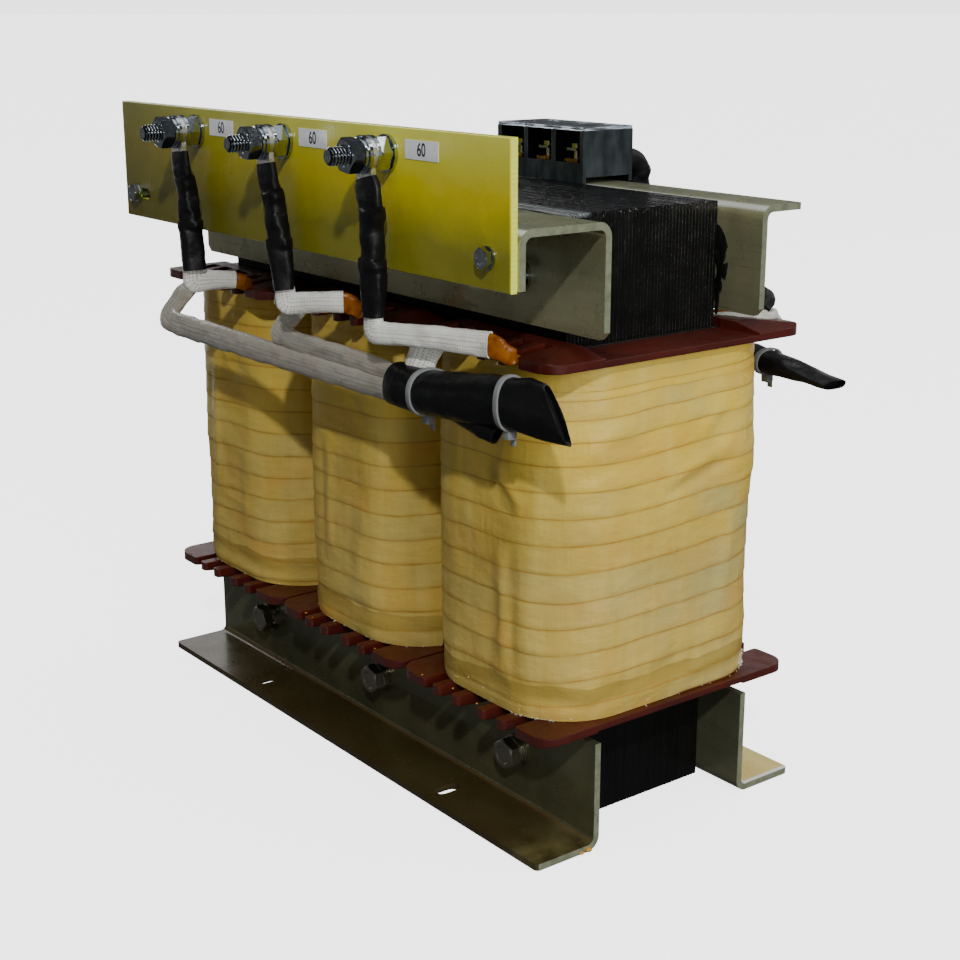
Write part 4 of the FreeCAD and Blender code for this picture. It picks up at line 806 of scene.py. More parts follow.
def draw_spring_washer(bm, spot, way, inner, outer, thickness, cut=0.0):
    """One turn of square wire, sprung a little open at its cut."""
    way = way.normalized()
    side = Vector((1, 0, 0)) if abs(way.y) > 0.9 else way.orthogonal().normalized()
    up = way.cross(side)
    half = thickness / 2
    soft = 0.25
    section = [(inner, -half + soft), (inner + soft, -half), (outer - soft, -half), (outer, -half + soft),
               (outer, half - soft), (outer - soft, half), (inner + soft, half), (inner, half - soft)]
    rings = []
    steps = 60
    gap = 7
    for n in range(steps + 1):
        share = n / steps
        angle = cut + math.radians(gap + (360 - 2 * gap) * share)
        ray = side * math.cos(angle) + up * math.sin(angle)
        rise = half + 0.7 * (share - 0.5)
        rings.append([spot + ray * far + way * (high + rise) for far, high in section])
    loft(bm, rings)


# Across the flats and height of heads and nuts, radii of threads, and a spring washer's inner radius,
# outer radius and thickness.
M10_HEAD, M10_NUT, M10_THREAD, M10_SPRING = (17, 6.4), (17, 8), 4.95, (5.4, 9, 2.2)
M6_HEAD, M6_NUT, M6_THREAD = (10, 4), (10, 5), 2.97
BOLT_FACE = 63.2
SCREW_HALF, SCREW_Z = 190, 335


def bolt_spots():
    return [((coil - 2) * COIL_PITCH, height) for coil in COILS for height in (35, 315)]


def stud_spots():
    return [((coil - 2) * STUD_PITCH, STUD_Z) for coil in COILS]


def hardware():
    """Yoke bolts, terminal studs, nuts and spring washers, drawn again with chamfers and threads."""
    chance = random.Random(11)
    bolts, nuts, springs, studs, screws, small = (bmesh.new() for kind in range(6))
    for x, z in bolt_spots():
        head = Vector((x, -BOLT_FACE, z))
        draw_hexagon(bolts, head, TO_FRONT, *M10_HEAD, chance.uniform(0, 1), both=False)
        shank = [(0.02, -0.1), (4.9, -0.1), (4.9, 132.2), (0.02, 132.2)]
        draw_turned(bolts, head, TO_REAR, shank, sides=24)
        draw_thread(bolts, Vector((x, 59, z)), TO_REAR, M10_THREAD, 0, 13)
        draw_hexagon(nuts, Vector((x, 61, z)), TO_REAR, *M10_NUT, chance.uniform(0, 1), hole=5.0)
        draw_spring_washer(springs, Vector((x, -61, z)), TO_FRONT, *M10_SPRING, chance.uniform(0, TAU))
    for (x, z), turn in zip(stud_spots(), (0.30, 0.42, 0.36)):
        draw_hexagon(studs, Vector((x, -115, z)), TO_REAR, *M10_HEAD, turn, both=False)
        draw_thread(studs, Vector((x, 0, z)), TO_FRONT, M10_THREAD, 110, 156.7, pitch=2.0, turn=turn)
        draw_hexagon(nuts, Vector((x, -121.5, z)), TO_FRONT, *M10_NUT, turn + 0.25, hole=5.0)
        draw_hexagon(nuts, Vector((x, -138.7, z)), TO_FRONT, *M10_NUT, turn, hole=5.0)
        draw_spring_washer(springs, Vector((x, -136.5, z)), TO_FRONT, *M10_SPRING, 2.4 + 6 * turn)
    for x in (-SCREW_HALF, SCREW_HALF):
        head = Vector((x, -120.7, SCREW_Z))
        draw_hexagon(screws, head, TO_FRONT, *M6_HEAD, chance.uniform(0, 1), both=False)
        draw_thread(screws, Vector((x, -120.6, SCREW_Z)), TO_REAR, M6_THREAD, 0, 16.1, pitch=1.0)
        draw_hexagon(small, Vector((x, -111, SCREW_Z)), TO_REAR, *M6_NUT, chance.uniform(0, 1), hole=3.0)
    for bm, name, node in (
            (bolts, "chamfered_yoke_bolts", "yoke_bolts"), (nuts, "chamfered_nuts", "hex_nuts"),
            (springs, "split_spring_washers", "spring_washers"), (studs, "threaded_studs", "terminal_studs"),
            (screws, "threaded_board_screws", "board_screws"), (small, "chamfered_board_nuts", "board_nuts")):
        finish_piece(bm, name, "zinc_steel", [node], crease=25)


# Core

# Heights of the lower yoke's top and of the seam under the upper yoke.
YOKE = 70
SEAM = 280


def laminated_core():
    """The stack, its sheets a little out of line with one another and grooved between."""
    chance = random.Random(5)
    lower = []
    upper = []
    for n in range(round(2 * CORE_FACE / SHEET_PITCH)):
        left, right, top = (chance.uniform(0, 0.2) for side in range(3))
        low = chance.uniform(0, 0.1)
        for share, groove in ((0.0, 0.16), (0.14, 0.0), (0.86, 0.0)):
            y = -CORE_FACE + SHEET_PITCH * (n + share)
            x_low, x_high = left + groove - CORE_HALF, CORE_HALF - right - groove
            z_low, z_high = low + groove, CORE_TOP - top - groove
            outline = [(x_low, z_low), (x_high, z_low), (x_high, SEAM - 0.1)]
            for inner, outer in ((105, 35), (-35, -105)):
                outline += [(inner, SEAM - 0.1), (inner, YOKE), (outer, YOKE), (outer, SEAM - 0.1)]
            outline.append((x_low, SEAM - 0.1))
            lower.append([Vector((x, y, z)) for x, z in outline])
            upper.append([Vector((x, y, z)) for x, z in (
                (x_low, SEAM + 0.1), (x_high, SEAM + 0.1), (x_high, z_high), (x_low, z_high))])
    for rings, name, node in ((lower, "stacked_core_sheets", "core_e_stack"),
                              (upper, "stacked_yoke_sheets", "core_yoke_bar")):
        bm = bmesh.new()
        loft(bm, rings)
        finish_piece(bm, name, "varnished_laminations", [node], crease=8)


# Coils

def wrap_point(distance, half_x, half_y, corner):
    """Where a distance round a rounded rectangle lies, counted from the middle of the side at +X, and
    the outward direction there."""
    straight_x, straight_y = half_x - corner, half_y - corner
    arc = corner * math.pi / 2
    runs = [2 * straight_y, arc, 2 * straight_x, arc, 2 * straight_y, arc, 2 * straight_x, arc]
    starts = [(half_x, -straight_y), (straight_x, straight_y), (straight_x, half_y),
              (-straight_x, straight_y), (-half_x, straight_y), (-straight_x, -straight_y),
              (-straight_x, -half_y), (straight_x, -straight_y)]
    distance = (distance + straight_y) % sum(runs)
    for k, run in enumerate(runs):
        if distance <= run:
            break
        distance -= run
    facing = (k // 2) * math.pi / 2
    if k % 2:
        turn = facing + distance / corner
        out = Vector((math.cos(turn), math.sin(turn), 0))
        return Vector((*starts[k], 0)) + out * corner, out
    out = Vector((math.cos(facing), math.sin(facing), 0))
    along = Vector((-math.sin(facing), math.cos(facing), 0))
    return Vector((*starts[k], 0)) + along * distance, out


# Where the edges of the laps lie on the near end of each coil, from the photograph's spacing.
LAP_EDGES = (60, 75, 86, 101, 117, 132, 147, 163, 178, 193, 208, 223, 236, 248, 258, 262, 276, 290, 305,
             320)


def lap_count(height):
    """How many laps lie below a height, as a whole number and a share of the next."""
    for k in range(len(LAP_EDGES) - 1):
        if height < LAP_EDGES[k + 1]:
            return k + (height - LAP_EDGES[k]) / (LAP_EDGES[k + 1] - LAP_EDGES[k])
    return float(len(LAP_EDGES) - 1)


# Folds in the tape of each coil: distance round from the side at +X and height of both ends, then half
# width and depth, outwards where it is positive.
CREASES = {
    3: ((28, 214, 80, 204, 17, 2.0), (-8, 203, 45, 222, 5, 1.5), (-12, 196, 44, 211, 4, -1.3),
        (14, 226, 40, 246, 4, 0.9), (-66, 226, -28, 246, 6, 1.1), (-70, 214, -38, 222, 5, -0.8),
        (-128, 214, -106, 189, 5, -1.8), (-122, 216, -98, 196, 4, 1.2), (-135, 246, -116, 222, 6, -1.0),
        (-112, 98, -116, 172, 4, 1.2), (-104, 92, -108, 176, 4, -1.1), (-126, 88, -120, 150, 5, -1.1),
        (-58, 90, 52, 97, 6, -1.6), (-60, 82, 52, 88, 4, 0.9), (-140, 92, -60, 89, 6, -0.9),
        (38, 120, 46, 180, 4, 0.9)),
    2: ((-130, 236, -104, 212, 6, -1.4), (-150, 120, -146, 205, 5, 1.2), (-158, 110, -156, 200, 5, -1.2),
        (-118, 96, -112, 160, 6, 1.0), (-170, 92, -60, 95, 6, -1.2), (-96, 180, -88, 240, 6, 0.8)),
    1: ((-152, 130, -148, 232, 5, 1.3), (-162, 120, -158, 220, 5, -1.3), (-125, 226, -95, 206, 6, -1.2),
        (-118, 100, -112, 170, 6, 0.9), (-176, 92, -60, 95, 6, -1.2), (-140, 240, -128, 214, 5, 1.0)),
}


def creased(distance, height, coil):
    """How far the folds of a coil move its surface out at one place."""
    total = 0.0
    for start, low, end, high, width, depth in CREASES[coil]:
        along = Vector((end - start, high - low))
        for turn in (-WRAP_GIRTH, 0, WRAP_GIRTH):
            spot = Vector((distance + turn - start, height - low))
            share = min(max(spot.dot(along) / along.length_squared, 0), 1)
            away = (spot - along * share).length / width
            if away < 3:
                total += depth * math.exp(-away * away) * (1 - (2 * share - 1) ** 4)
    return total


def tape_coil(coil):
    """One coil's tape. The near coil's UV map starts at its far side, the others' at their near side."""
    columns = round(WRAP_GIRTH / 2.4)
    levels = 132
    turned = 0.5 if coil == 3 else 0.0
    middle = Vector(((coil - 2) * COIL_PITCH, 0, 0))
    places = [wrap_point(WRAP_GIRTH * (turned + n / columns), WRAP_HALF_X, WRAP_HALF_Y, WRAP_CORNER)
              for n in range(columns)]
    rings = []
    counted = []
    for level in range(levels + 1):
        z = WRAP_LOW + (WRAP_HIGH - WRAP_LOW) * level / levels
        end = min((z - WRAP_LOW) / 9, (WRAP_HIGH - z) / 6, 1)
        neck = smooth_share(min(max((z - WRAP_HIGH + 40) / 40, 0), 1))
        ring = []
        row = []
        for n, (spot, out) in enumerate(places):
            slow = Vector((spot.x * 0.012, spot.y * 0.012, z * 0.012 + 11 * coil))
            drift = 2.2 * noise.noise(slow * 1.1 + Vector((5, 0, 0)))
            drift += 0.5 * noise.noise(Vector((spot.x * 0.04, spot.y * 0.04, z * 0.015 + 3.1 * coil)))
            laps = lap_count(z + drift + 6.5 * (coil - 3)) + 0.5
            row.append(laps)
            share = (laps - n / columns) % 1
            lap = 0.65 * min(share / 0.08, 1) * (1 - 0.75 * share)
            swell = 1.6 * noise.noise(slow)
            fold = abs(noise.noise(slow * 2.3 + Vector((0, 9, coil))))
            pleat = 0.3 * noise.noise(Vector((spot.x * 0.06, spot.y * 0.06, z * 0.02 + 5 * coil)))
            pleat += creased((n / columns + turned) * WRAP_GIRTH, z, coil)
            high = lap + (swell + pleat - 1.2 * fold) * end - 1.6 * (1 - end) ** 2 - 0.5 - 1.2 * neck
            ring.append(middle + spot + out * max(high, -1.8) + Vector((0, 0, z)))
        rings.append(ring)
        counted.append(row)
    bm = bmesh.new()
    loft(bm, rings, counted)
    finish_piece(bm, f"taped_coil_{coil}", "cream_tape", [f"tape_wrap_{coil}"], crease=70)


# Leads

def down_lug(number, reach, out):
    """A point at a distance from a stud along its lug's lean."""
    lean = math.radians(LUG_LEANS[number - 1])
    return ((number - 2) * STUD_PITCH + reach * math.sin(lean), -out, STUD_Z - reach * math.cos(lean))


# Directions that the flat sides of leads face.
FLAT = (0, -1, 0)
FLAT_BEHIND = (0, 1, 0)
LEAD_FACING = ((0.985, -0.17, 0), (0.82, -0.57, 0.12), (0.33, -0.94, 0))
END_FACING = (0.98, -0.2, 0)
ALONG_X = (1, 0, 0)
RISEN = (0, -0.5, 0.87)
RISEN_BEHIND = (0, 0.5, 0.87)


def shrink_tubes():
    """Black tubes shrunk over the lugs' barrels; they follow the lumps underneath."""
    tubes = []
    for number, facing, turning, wide, low in zip(
            COILS, LEAD_FACING, ((0.5, -0.86, 0.0), (0.42, -0.9, 0.05), (0.1, -1.0, 0.0)),
            (7.4, 6.0, 5.9), (85, 84, 85.5)):
        shape = ((11.8, 133, FLAT, 8.3, 2.7), (18, 133, FLAT, 8.5, 3.0), (24.5, 132.6, FLAT, 8.1, 3.6),
                 (30, 130.6, FLAT, 6.9, 5.6), (38, 130, FLAT, 6.1, 5.6), (44, 130, FLAT, 6.4, 5.9),
                 (52, 130, turning, 6.2, 5.7), (57, 130, turning, 7.6, 5.9), (64, 130, facing, 7.1, 5.5),
                 (low, 130, facing, wide, 4.9))
        tubes.append([(down_lug(number, reach, out), *rest) for reach, out, *rest in shape])
    # The near tube is broader, and lies further over.
    for n, across, wide in ((1, 1.5, 9.9), (2, 2.0, 9.7), (3, 1.4, 8.2), (6, 0.0, 6.0), (7, -0.8, 8.2)):
        point, plane, before, thick = tubes[2][n]
        tubes[2][n] = (Vector(point) + Vector((across, 0, 0)), plane, wide, thick)
    soft_piece("shrunk_tubes", "black_shrink", ["output_shrink_tubes"], *tubes, lump=0.55, ease=0.4,
               walls=(0.6, 1.3), square=3.0)


# Stations of the leads: point, direction of the flat side, half width, half thickness.
OUTPUT_SLEEVES = (
    [((-98.2, -129.6, 302), LEAD_FACING[0], 6.9, 3.2), ((-98.2, -129.2, 288), LEAD_FACING[0], 7.2, 3.4),
     ((-95.6, -116, 288), LEAD_FACING[0], 6.0, 3.4), ((-92.5, -103.5, 287), END_FACING, 5.6, 3.2)],
    [((11.4, -130, 303), LEAD_FACING[1], 5.4, 3.4), ((14.2, -129.4, 289), LEAD_FACING[1], 6.2, 3.4),
     ((23, -117, 290), LEAD_FACING[1], 6.1, 3.3), ((33, -103, 290), (0.82, -0.57, 0), 6.4, 3.0)],
    [((104, -130, 303), FLAT, 5.4, 3.7), ((104.2, -130, 286), (0.2, -0.98, 0), 6.1, 3.6),
     ((122, -124.5, 287), LEAD_FACING[2], 5.9, 3.6), ((146, -115.5, 287.5), LEAD_FACING[2], 6.3, 3.6),
     ((172.5, -104.5, 287), (0.36, -0.93, 0.05), 7.0, 3.4)],
)
OUTPUT_TAILS = (
    [((-95.5, -108, 287.3), END_FACING, 5.0, 2.4), ((-91.5, -101, 286.3), END_FACING, 5.0, 2.2),
     ((-94, -94, 283), (0.98, -0.2, 0.2), 4.6, 1.8), ((-100.5, -86, 279), (0.6, 0, 0.8), 3.0, 1.5),
     ((-102.2, -79, 273), ALONG_X, 2.2, 1.6)],
    [((29, -108, 290), (0.82, -0.57, 0), 5.6, 2.2), ((34.5, -101, 289.3), (0.82, -0.57, 0), 5.8, 2.0),
     ((35, -94.5, 285), (0.85, -0.4, 0.3), 5.0, 1.7), ((26.5, -87, 280), (0.6, 0, 0.8), 3.2, 1.5),
     ((21, -79, 273), ALONG_X, 2.2, 1.6)],
    [((167, -106.5, 287.2), (0.36, -0.93, 0.05), 6.0, 2.4),
     ((174, -103.2, 286.4), (0.4, -0.9, 0.1), 6.2, 2.2), ((179.5, -98.5, 282), (0.6, -0.75, 0.25), 5.0, 1.8),
     ((180, -90, 277.8), (0.5, -0.5, 0.7), 3.0, 1.5), ((178, -79, 273), ALONG_X, 2.2, 1.6)],
)
FRONT_STAR = (
    [((-157, -80, 277), RISEN, 5.5, 3.0), ((-152, -99, 280.5), (0, -0.6, 0.8), 8.6, 2.8),
     ((-153, -110, 270), (0.1, -0.8, 0.6), 9.6, 2.6), ((-158.5, -119.5, 256), (0.05, -0.9, 0.43), 8.4, 3.2),
     ((-140, -120.5, 253.2), FLAT, 7.8, 3.6), ((-98, -119.6, 253), FLAT, 7.8, 4.0),
     ((-50, -119.2, 252.6), FLAT, 7.4, 4.2), ((7, -119, 252.4), FLAT, 7.0, 4.2),
     ((61, -118.6, 252.6), FLAT, 6.8, 4.2), ((114, -118, 252.8), FLAT, 6.4, 4.0)],
    [((-21, -80, 277), RISEN, 5.5, 3.0), ((-18, -99, 281.5), (0, -0.6, 0.8), 8.2, 2.8),
     ((-15, -109.5, 275), (0.1, -0.8, 0.6), 8.8, 2.6), ((-18, -117.5, 267), (0.05, -0.9, 0.43), 7.2, 3.0),
     ((2, -117.4, 263.6), FLAT, 6.2, 3.6), ((61.6, -116.8, 262.8), FLAT, 6.2, 3.9),
     ((114, -116.8, 260.8), FLAT, 5.6, 3.9)],
    [((119, -80, 277), RISEN, 4.4, 3.2), ((121, -97, 284.5), (0.1, -0.6, 0.8), 8.0, 3.0),
     ((124, -107.5, 282), (0.35, -0.9, 0.25), 10.2, 2.6),
     ((123.5, -112.5, 272), (0.35, -0.93, 0.1), 9.4, 3.0), ((121, -116.5, 261), FLAT, 6.6, 3.6)],
)


def front_leads():
    for number, sleeve, star in zip(COILS, OUTPUT_SLEEVES, FRONT_STAR):
        soft_piece(f"woven_output_sleeve_{number}", "white_sleeving", [f"output_sleeve_{number}"], sleeve,
                   lump=0.45, ease=0.1, reach=6.0, step=1.0, walls=(0, 0.9), square=2.8)
        finish = "white_sleeving" if number == 3 else "grey_sleeving"
        soft_piece(f"flat_star_lead_{number}", finish, [f"front_star_lead_{number}"], star,
                   lump=0.6, ease=0.3, reach=6.5, step=1.4, square=2.5)


REAR_STAR = (
    [((-161, 80, 277), RISEN_BEHIND, 4.4, 3.2), ((-161, 98, 279), RISEN_BEHIND, 5.2, 3.4),
     ((-160, 110, 254), FLAT_BEHIND, 5.0, 3.8), ((-10, 110.5, 252), FLAT_BEHIND, 5.0, 3.8),
     ((152, 109.5, 252), FLAT_BEHIND, 5.0, 3.8)],
    [((-21, 80, 277), RISEN_BEHIND, 4.4, 3.2), ((-21, 97, 278), RISEN_BEHIND, 5.0, 3.4),
     ((-18, 101.5, 254), FLAT_BEHIND, 4.9, 3.6), ((152, 101.5, 252), FLAT_BEHIND, 4.9, 3.6)],
    [((119, 80, 277), RISEN_BEHIND, 4.4, 3.2), ((119, 99, 279), RISEN_BEHIND, 5.0, 3.4),
     ((132, 105, 264), FLAT_BEHIND, 4.9, 3.6), ((152, 105, 255), FLAT_BEHIND, 4.9, 3.4)],
)
# Routes of the supply leads, and half their width at each point.
SUPPLY = (
    ((-102.2, 92, 285), (-100, 102, 291), (-72, 107, 301), (-30, 112, 316), (-9, 116, 336),
     (-7.5, 114, 366), (-7.5, 91.5, 371)),
    ((37.7, 92, 285), (37, 102, 291), (30, 107, 302), (21, 113, 320), (19.5, 116, 340),
     (19.5, 114, 366), (19.5, 91.5, 371)),
    ((177.7, 92, 285), (174, 102, 290), (140, 107, 298), (58, 114, 320), (48, 116, 340),
     (48.5, 110, 360), (47, 91.5, 363)),
)
LEAD_GIRTH = (4.4, 4.4, 4.4, 4.5, 5.5, 7.8, 7.0)


def rear_leads():
    """The rear star leads, the supply leads, and a short black lead laid behind the terminal block, which
    also stands in for the shade in the gap under the block.
    """
    soft_piece("flat_rear_star_leads", "grey_sleeving", ["rear_star_leads"], *REAR_STAR, lump=0.5, ease=0.35)
    facing = (0, 0.7, 0.7)
    leads = [[(point, facing, girth, 0.9 * girth) for point, girth in zip(route, LEAD_GIRTH)]
             for route in SUPPLY]
    # A short black lead behind the terminal block; it also stands in for painted shade in the gap under the
    # block.
    leads.append([((x, 108, 346.8), facing, 5.2, 4.6) for x in (8, 30, 53)])
    soft_piece("sleeved_supply_leads", "black_sleeve", ["supply_leads"], *leads, lump=0.9, ease=0.4,
               square=2.2)


def winding_ends():
    """The varnished ends of the windings, from the coils into their sleeves."""
    bm = bmesh.new()
    for number, stations in enumerate(OUTPUT_TAILS):
        draw_tube(bm, stations, lump=0.25, seed=3.0 * number, ease=0.35, step=1.0, reach=4.0, square=3.0)
    for coil in COILS:
        middle = (coil - 2) * COIL_PITCH
        for side, across in ((-1, -21), (1, -21), (1, 37.8)):
            x = middle + across
            stations = [((x, side * 76, 273), ALONG_X, 2.2, 2.2), ((x, side * 83, 279), ALONG_X, 2.3, 2.2),
                        ((x, side * 95, 280), (0, 0, 1), 2.2, 2.2)]
            draw_tube(bm, stations, lump=0.3, ease=0.45, step=1.2)
    finish_piece(bm, "varnished_winding_ends", "orange_varnish", ["lead_tails"], crease=60)


# Shrouds over the star points: middle, half thickness, half height, and the lean of the section's
# top away from the near end in degrees.
FRONT_SHROUD = (
    (108, -118, 257.2, 9.5, 12.2, -6), (118, -117.5, 257, 12, 12, -3), (131, -116, 257, 12.5, 11.5, 0),
    (137, -116, 257, 12.5, 11.5, 0), (150, -115.3, 258, 12.6, 12.6, 0), (172, -114, 259.5, 11.6, 13.2, 0),
    (187, -112.5, 261.3, 10, 13.6, 0), (195.5, -112, 262.3, 8.6, 13.2, 0), (201.5, -112, 262.3, 8.6, 13.2, 3),
    (215, -109.5, 262.3, 5.5, 15.5, 15), (231, -108, 261.6, 3.2, 16.8, 34),
)
REAR_SHROUD = (
    (146, 105.5, 252, 11, 7, 0), (158, 105.3, 252, 11.5, 8, 0), (169, 105, 251.7, 10, 6.5, 0),
    (175, 105, 251.7, 10, 6.5, 0), (190, 105, 250, 10.5, 5.4, 0), (205, 105, 248.4, 10, 3.6, 0),
    (224, 104.5, 246.4, 9.8, 2.4, 0),
)


def shroud_ring(section, grown=0.0, across=None, sides=40, lump=0.0, seed=0.0):
    x, y, z, half_y, half_z, lean = section
    x = x if across is None else across
    slope = math.radians(lean)
    ring = []
    for n in range(sides):
        turn = TAU * n / sides
        side, up = oval_point(turn, 2.3)
        grain = Vector((x * 0.07, 1.2 * math.cos(turn), 1.2 * math.sin(turn) + seed))
        uneven = grown + lump * noise.noise(grain)
        out = side * (half_y + uneven)
        high = up * (half_z + uneven)
        ring.append(Vector((x - math.sin(slope) * high, y + out, z + math.cos(slope) * high)))
    return ring


def draw_shroud(bm, sections, walls, seed):
    rings = []
    for first, last in zip(sections, sections[1:]):
        pieces = max(2, round((last[0] - first[0]) / 1.6))
        for n in range(pieces):
            mixed = tuple(a + (b - a) * n / pieces for a, b in zip(first, last))
            rings.append(shroud_ring(mixed, lump=0.9, seed=seed))
    rings.append(shroud_ring(sections[-1], lump=0.9, seed=seed))
    add_rims(rings, [0.0] * len(rings), walls, depth=4.0)
    loft(bm, rings)


def star_shrouds():
    bm = bmesh.new()
    draw_shroud(bm, FRONT_SHROUD, (1.6, 1.0), 2.0)
    lobe = [((140, -114, 256), FLAT, 8.5, 7.5), ((160, -113.2, 252.5), (0, -0.94, 0.34), 8.5, 7.5),
            ((176, -112.6, 249), (0, -0.94, 0.34), 8.0, 6.4), ((189, -112, 244.8), (0, -0.9, 0.4), 6.0, 3.4)]
    draw_tube(bm, lobe, lump=0.7, seed=4.0, walls=(0, 0.9))
    finish_piece(bm, "shrunk_front_shroud", "black_shrink", ["front_star_shroud"], crease=60)
    bm = bmesh.new()
    draw_shroud(bm, REAR_SHROUD, (1.5, 0.8), 9.0)
    finish_piece(bm, "shrunk_rear_shroud", "black_shrink", ["rear_star_shroud"], crease=60)


def draw_tie(bm, section, across, seed):
    """A tie's band round a shroud, with its head below and its clipped end."""
    sides = 72
    inner = shroud_ring(section, 0.25, across, sides)
    outer = shroud_ring(section, 1.35, across, sides)
    side = Vector((1.6, 0, 0))
    soft = Vector((1.3, 0, 0))
    rings = []
    for n in range(sides + 1):
        k = (54 + n) % sides
        low, high = inner[k], outer[k]
        ridge = (high - low).normalized() * (0.12 if n % 2 else 0.0)
        rings.append([low - side, high - side, high - soft + ridge, high + soft + ridge, high + side,
                      low + side])
    loft(bm, rings)
    low = min(outer, key=lambda spot: spot.z)
    for middle, size in (((low.x, low.y, low.z - 2.1), (5.0, 5.4, 4.6)),
                         ((low.x, low.y + 2.6, low.z - 6.0), (3.6, 1.2, 4.6))):
        made = bmesh.ops.create_cube(bm, size=1)["verts"]
        bmesh.ops.scale(bm, vec=size, verts=made)
        bmesh.ops.rotate(bm, matrix=Matrix.Rotation(0.12 * seed, 3, "X"), verts=made)
        bmesh.ops.translate(bm, vec=middle, verts=made)
        edges = list({edge for vertex in made for edge in vertex.link_edges})
        bmesh.ops.bevel(bm, geom=edges, offset=0.45, segments=2, profile=0.5, affect="EDGES", material=-1)


def cable_ties():
    bm = bmesh.new()
    draw_tie(bm, FRONT_SHROUD[2], 134, 0.4)
    draw_tie(bm, FRONT_SHROUD[7], 198.5, -1.2)
    draw_tie(bm, REAR_SHROUD[2], 172, 0.8)
    finish_piece(bm, "ridged_cable_ties", "grey_nylon", ["cable_ties"], crease=30)


# Labels

def label_figures():
    """Plain figures on the three labels."""
    bm = bmesh.new()
    curve = bpy.data.curves.new("figures", "FONT")
    curve.body = "60"
    curve.size = 9.5
    curve.align_x = "CENTER"
    curve.align_y = "CENTER"
    curve.extrude = 0.04
    curve.offset = 0.16
    holder = bpy.data.objects.new("figures", curve)
    bpy.context.collection.objects.link(holder)
    bpy.context.view_layer.update()
    drawn = bpy.data.meshes.new_from_object(holder.evaluated_get(bpy.context.evaluated_depsgraph_get()))
    bpy.data.objects.remove(holder)
    for x, z in stud_spots():
        before = set(bm.verts)
        bm.from_mesh(drawn)
        fresh = [vertex for vertex in bm.verts if vertex not in before]
        place = Matrix.Translation((x + 31, -BOARD_FRONT - 0.33, z + 3.3))
        upright = Matrix.Rotation(math.pi / 2, 4, "X") @ Matrix.Diagonal((0.8, 1, 1, 1))
        bmesh.ops.transform(bm, matrix=place @ upright, verts=fresh)
    finish_piece(bm, "label_figures", "figure_ink")


# Traces of varnishing and loose ends

# Outline in X and Z of the black run on the front face of the rear upper clamp.
PAINT_RUN = (
    (168, 348), (173, 347), (174.2, 341), (175, 338), (178, 335), (181.2, 331), (183.6, 325), (183, 321),
    (182, 318), (180.2, 315.6), (180.4, 314.8), (182.6, 315.8), (184.2, 316.4), (184.3, 314.4), (183.6, 310),
    (182.6, 306.2), (180.6, 301.4), (179.2, 298.4), (178.6, 294), (178.2, 290), (177.6, 286.6),
    (176.2, 285.4), (175.6, 288), (175.8, 294), (176.6, 299), (178.6, 304), (179.8, 308.6), (178.6, 312),
    (176.4, 310), (175, 306), (173.6, 300), (172.8, 292), (168, 290),
)


def paint_run():
    bm = bmesh.new()
    painted_edge_highlight = [bm.verts.new((x, CORE_FACE - 0.05, z)) for x, z in PAINT_RUN]
    bmesh.ops.contextual_create(bm, geom=painted_edge_highlight)
    face = next(face for face in painted_edge_highlight[0].link_faces if len(face.verts) == len(painted_edge_highlight))
    made = bmesh.ops.extrude_face_region(bm, geom=[face])["geom"]
    moved = [item for item in made if isinstance(item, bmesh.types.BMVert)]
    middle = sum((vertex.co for vertex in moved), Vector()) / len(moved)
    for vertex in moved:
        vertex.co = vertex.co + (middle - vertex.co) * 0.06 + Vector((0, -0.5, 0))
    bmesh.ops.recalc_face_normals(bm, faces=bm.faces)
    finish_piece(bm, "paint_run", "varnished_laminations", crease=80)


def varnish_drops():
    """Drops of varnish under the near corners of the lower clamps and on the flanges' edges."""
    chance = random.Random(3)
    bm = bmesh.new()
    spots = [(CLAMP_END, -63, 1.6, 2.4), (CLAMP_END, -68, 1.0, 1.6), (-CLAMP_END, -96, 1.0, 1.5)]
    for coil in COILS:
        middle = (coil - 2) * COIL_PITCH
        for n in range(3):
            x, y = middle + chance.uniform(-55, 60), -90 - chance.uniform(0, 3)
            spots.append((x, y, WRAP_LOW + 0.1, chance.uniform(0.4, 0.8)))
    for x, y, z, size in spots:
        made = bmesh.ops.create_uvsphere(bm, u_segments=12, v_segments=7, radius=size)["verts"]
        bmesh.ops.scale(bm, vec=(1, 1, 0.6), verts=made)
        bmesh.ops.translate(bm, vec=(x, y, z), verts=made)
    finish_piece(bm, "varnish_drops", "amber_drop", crease=80)


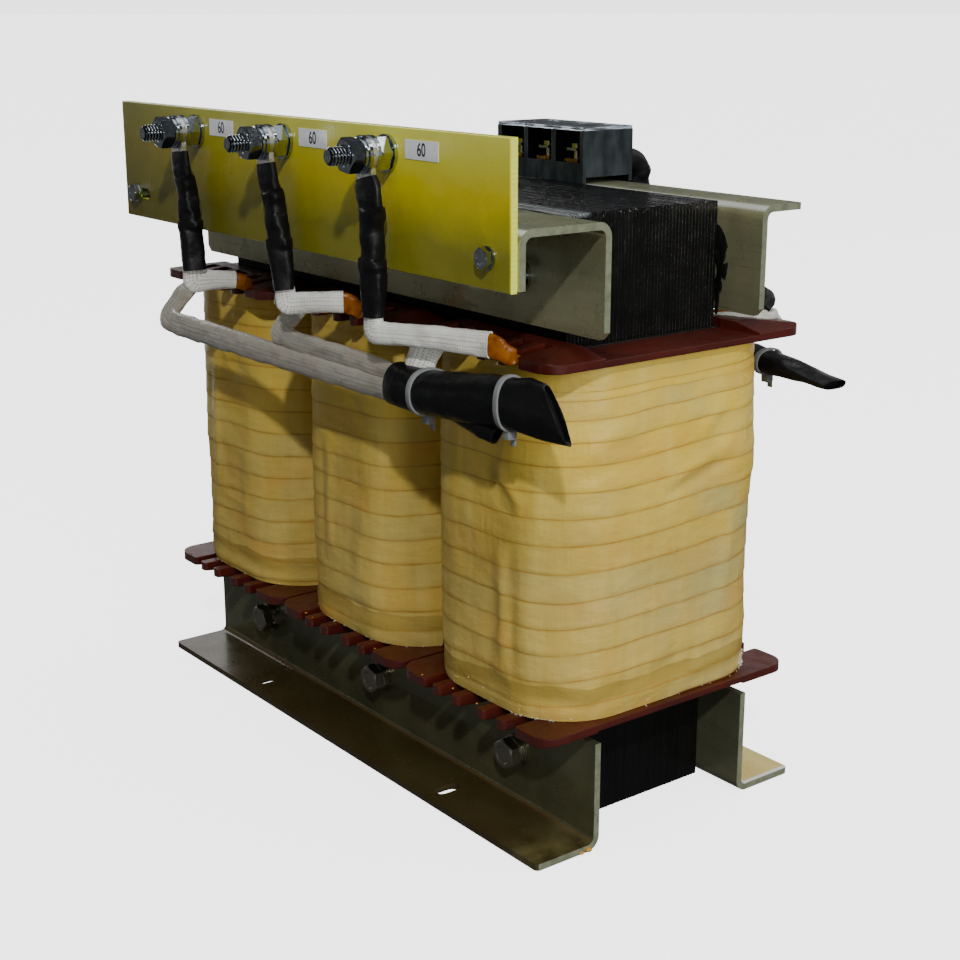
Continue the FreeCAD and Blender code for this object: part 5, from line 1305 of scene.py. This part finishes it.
def loose_threads():
    """Frayed ends of tape round the foot of each coil, thickest at the near rear corner."""
    chance = random.Random(8)
    bm = bmesh.new()
    for coil in COILS:
        middle = Vector(((coil - 2) * COIL_PITCH, 0, 0))
        places = [chance.uniform(0, WRAP_GIRTH) for n in range(60)]
        if coil == 3:
            places += [chance.gauss(67, 4) for n in range(120)]
            places += [-104 + 1.1 * n for n in range(26)]
        for distance in places:
            spot, out = wrap_point(distance, WRAP_HALF_X - 0.7, WRAP_HALF_Y - 0.7, WRAP_CORNER)
            along = Vector((-out.y, out.x, 0))
            low = chance.uniform(WRAP_LOW, 76.4 if distance < 50 or coil < 3 else 84.0)
            way = along * chance.uniform(-1, 1) + out * chance.uniform(0.0, 0.5)
            way.z = chance.uniform(-0.4, 0.6)
            length = chance.uniform(0.5, 1.5)
            draw_turned(bm, middle + spot + Vector((0, 0, low)), way,
                        [(0.02, 0), (0.2, 0), (0.16, length), (0.02, length)], sides=5)
    finish_piece(bm, "loose_threads", "loose_thread", crease=80)


def rear_loops():
    """Pale sleeves and a varnished end lying on the rear of the near top flange."""
    long_loop = [
        ((158, 60, 280), FLAT, 2.0, 1.6), ((168, 66, 282.3), FLAT, 2.6, 1.8),
        ((182, 76, 282.6), FLAT, 2.8, 1.8), ((189, 88, 282.6), (0.7, 0.7, 0), 2.6, 1.8),
        ((184, 97, 283.6), ALONG_X, 2.2, 1.8), ((172, 99, 283), FLAT_BEHIND, 2.0, 1.8)]
    short_loop = [((160, 74, 280), FLAT, 1.8, 1.6), ((176, 84, 282.4), FLAT, 2.2, 1.7),
                  ((181, 97, 283), ALONG_X, 2.0, 1.6), ((177, 108, 276), ALONG_X, 1.8, 1.6)]
    soft_piece("rear_pale_sleeves", "white_sleeving", (), long_loop, short_loop, lump=0.3, ease=0.45)
    end = [((160, 66, 281), FLAT, 3.0, 1.6), ((166, 69.5, 283.2), FLAT, 3.6, 1.8),
           ((171, 73, 282.8), FLAT, 2.6, 1.4)]
    soft_piece("rear_varnished_end", "orange_varnish", (), end, lump=0.5)


studio()
laminated_core()
for coil in COILS:
    tape_coil(coil)
hardware()
shrink_tubes()
front_leads()
rear_leads()
winding_ends()
star_shrouds()
cable_ties()
label_figures()
paint_run()
varnish_drops()
loose_threads()
rear_loops()
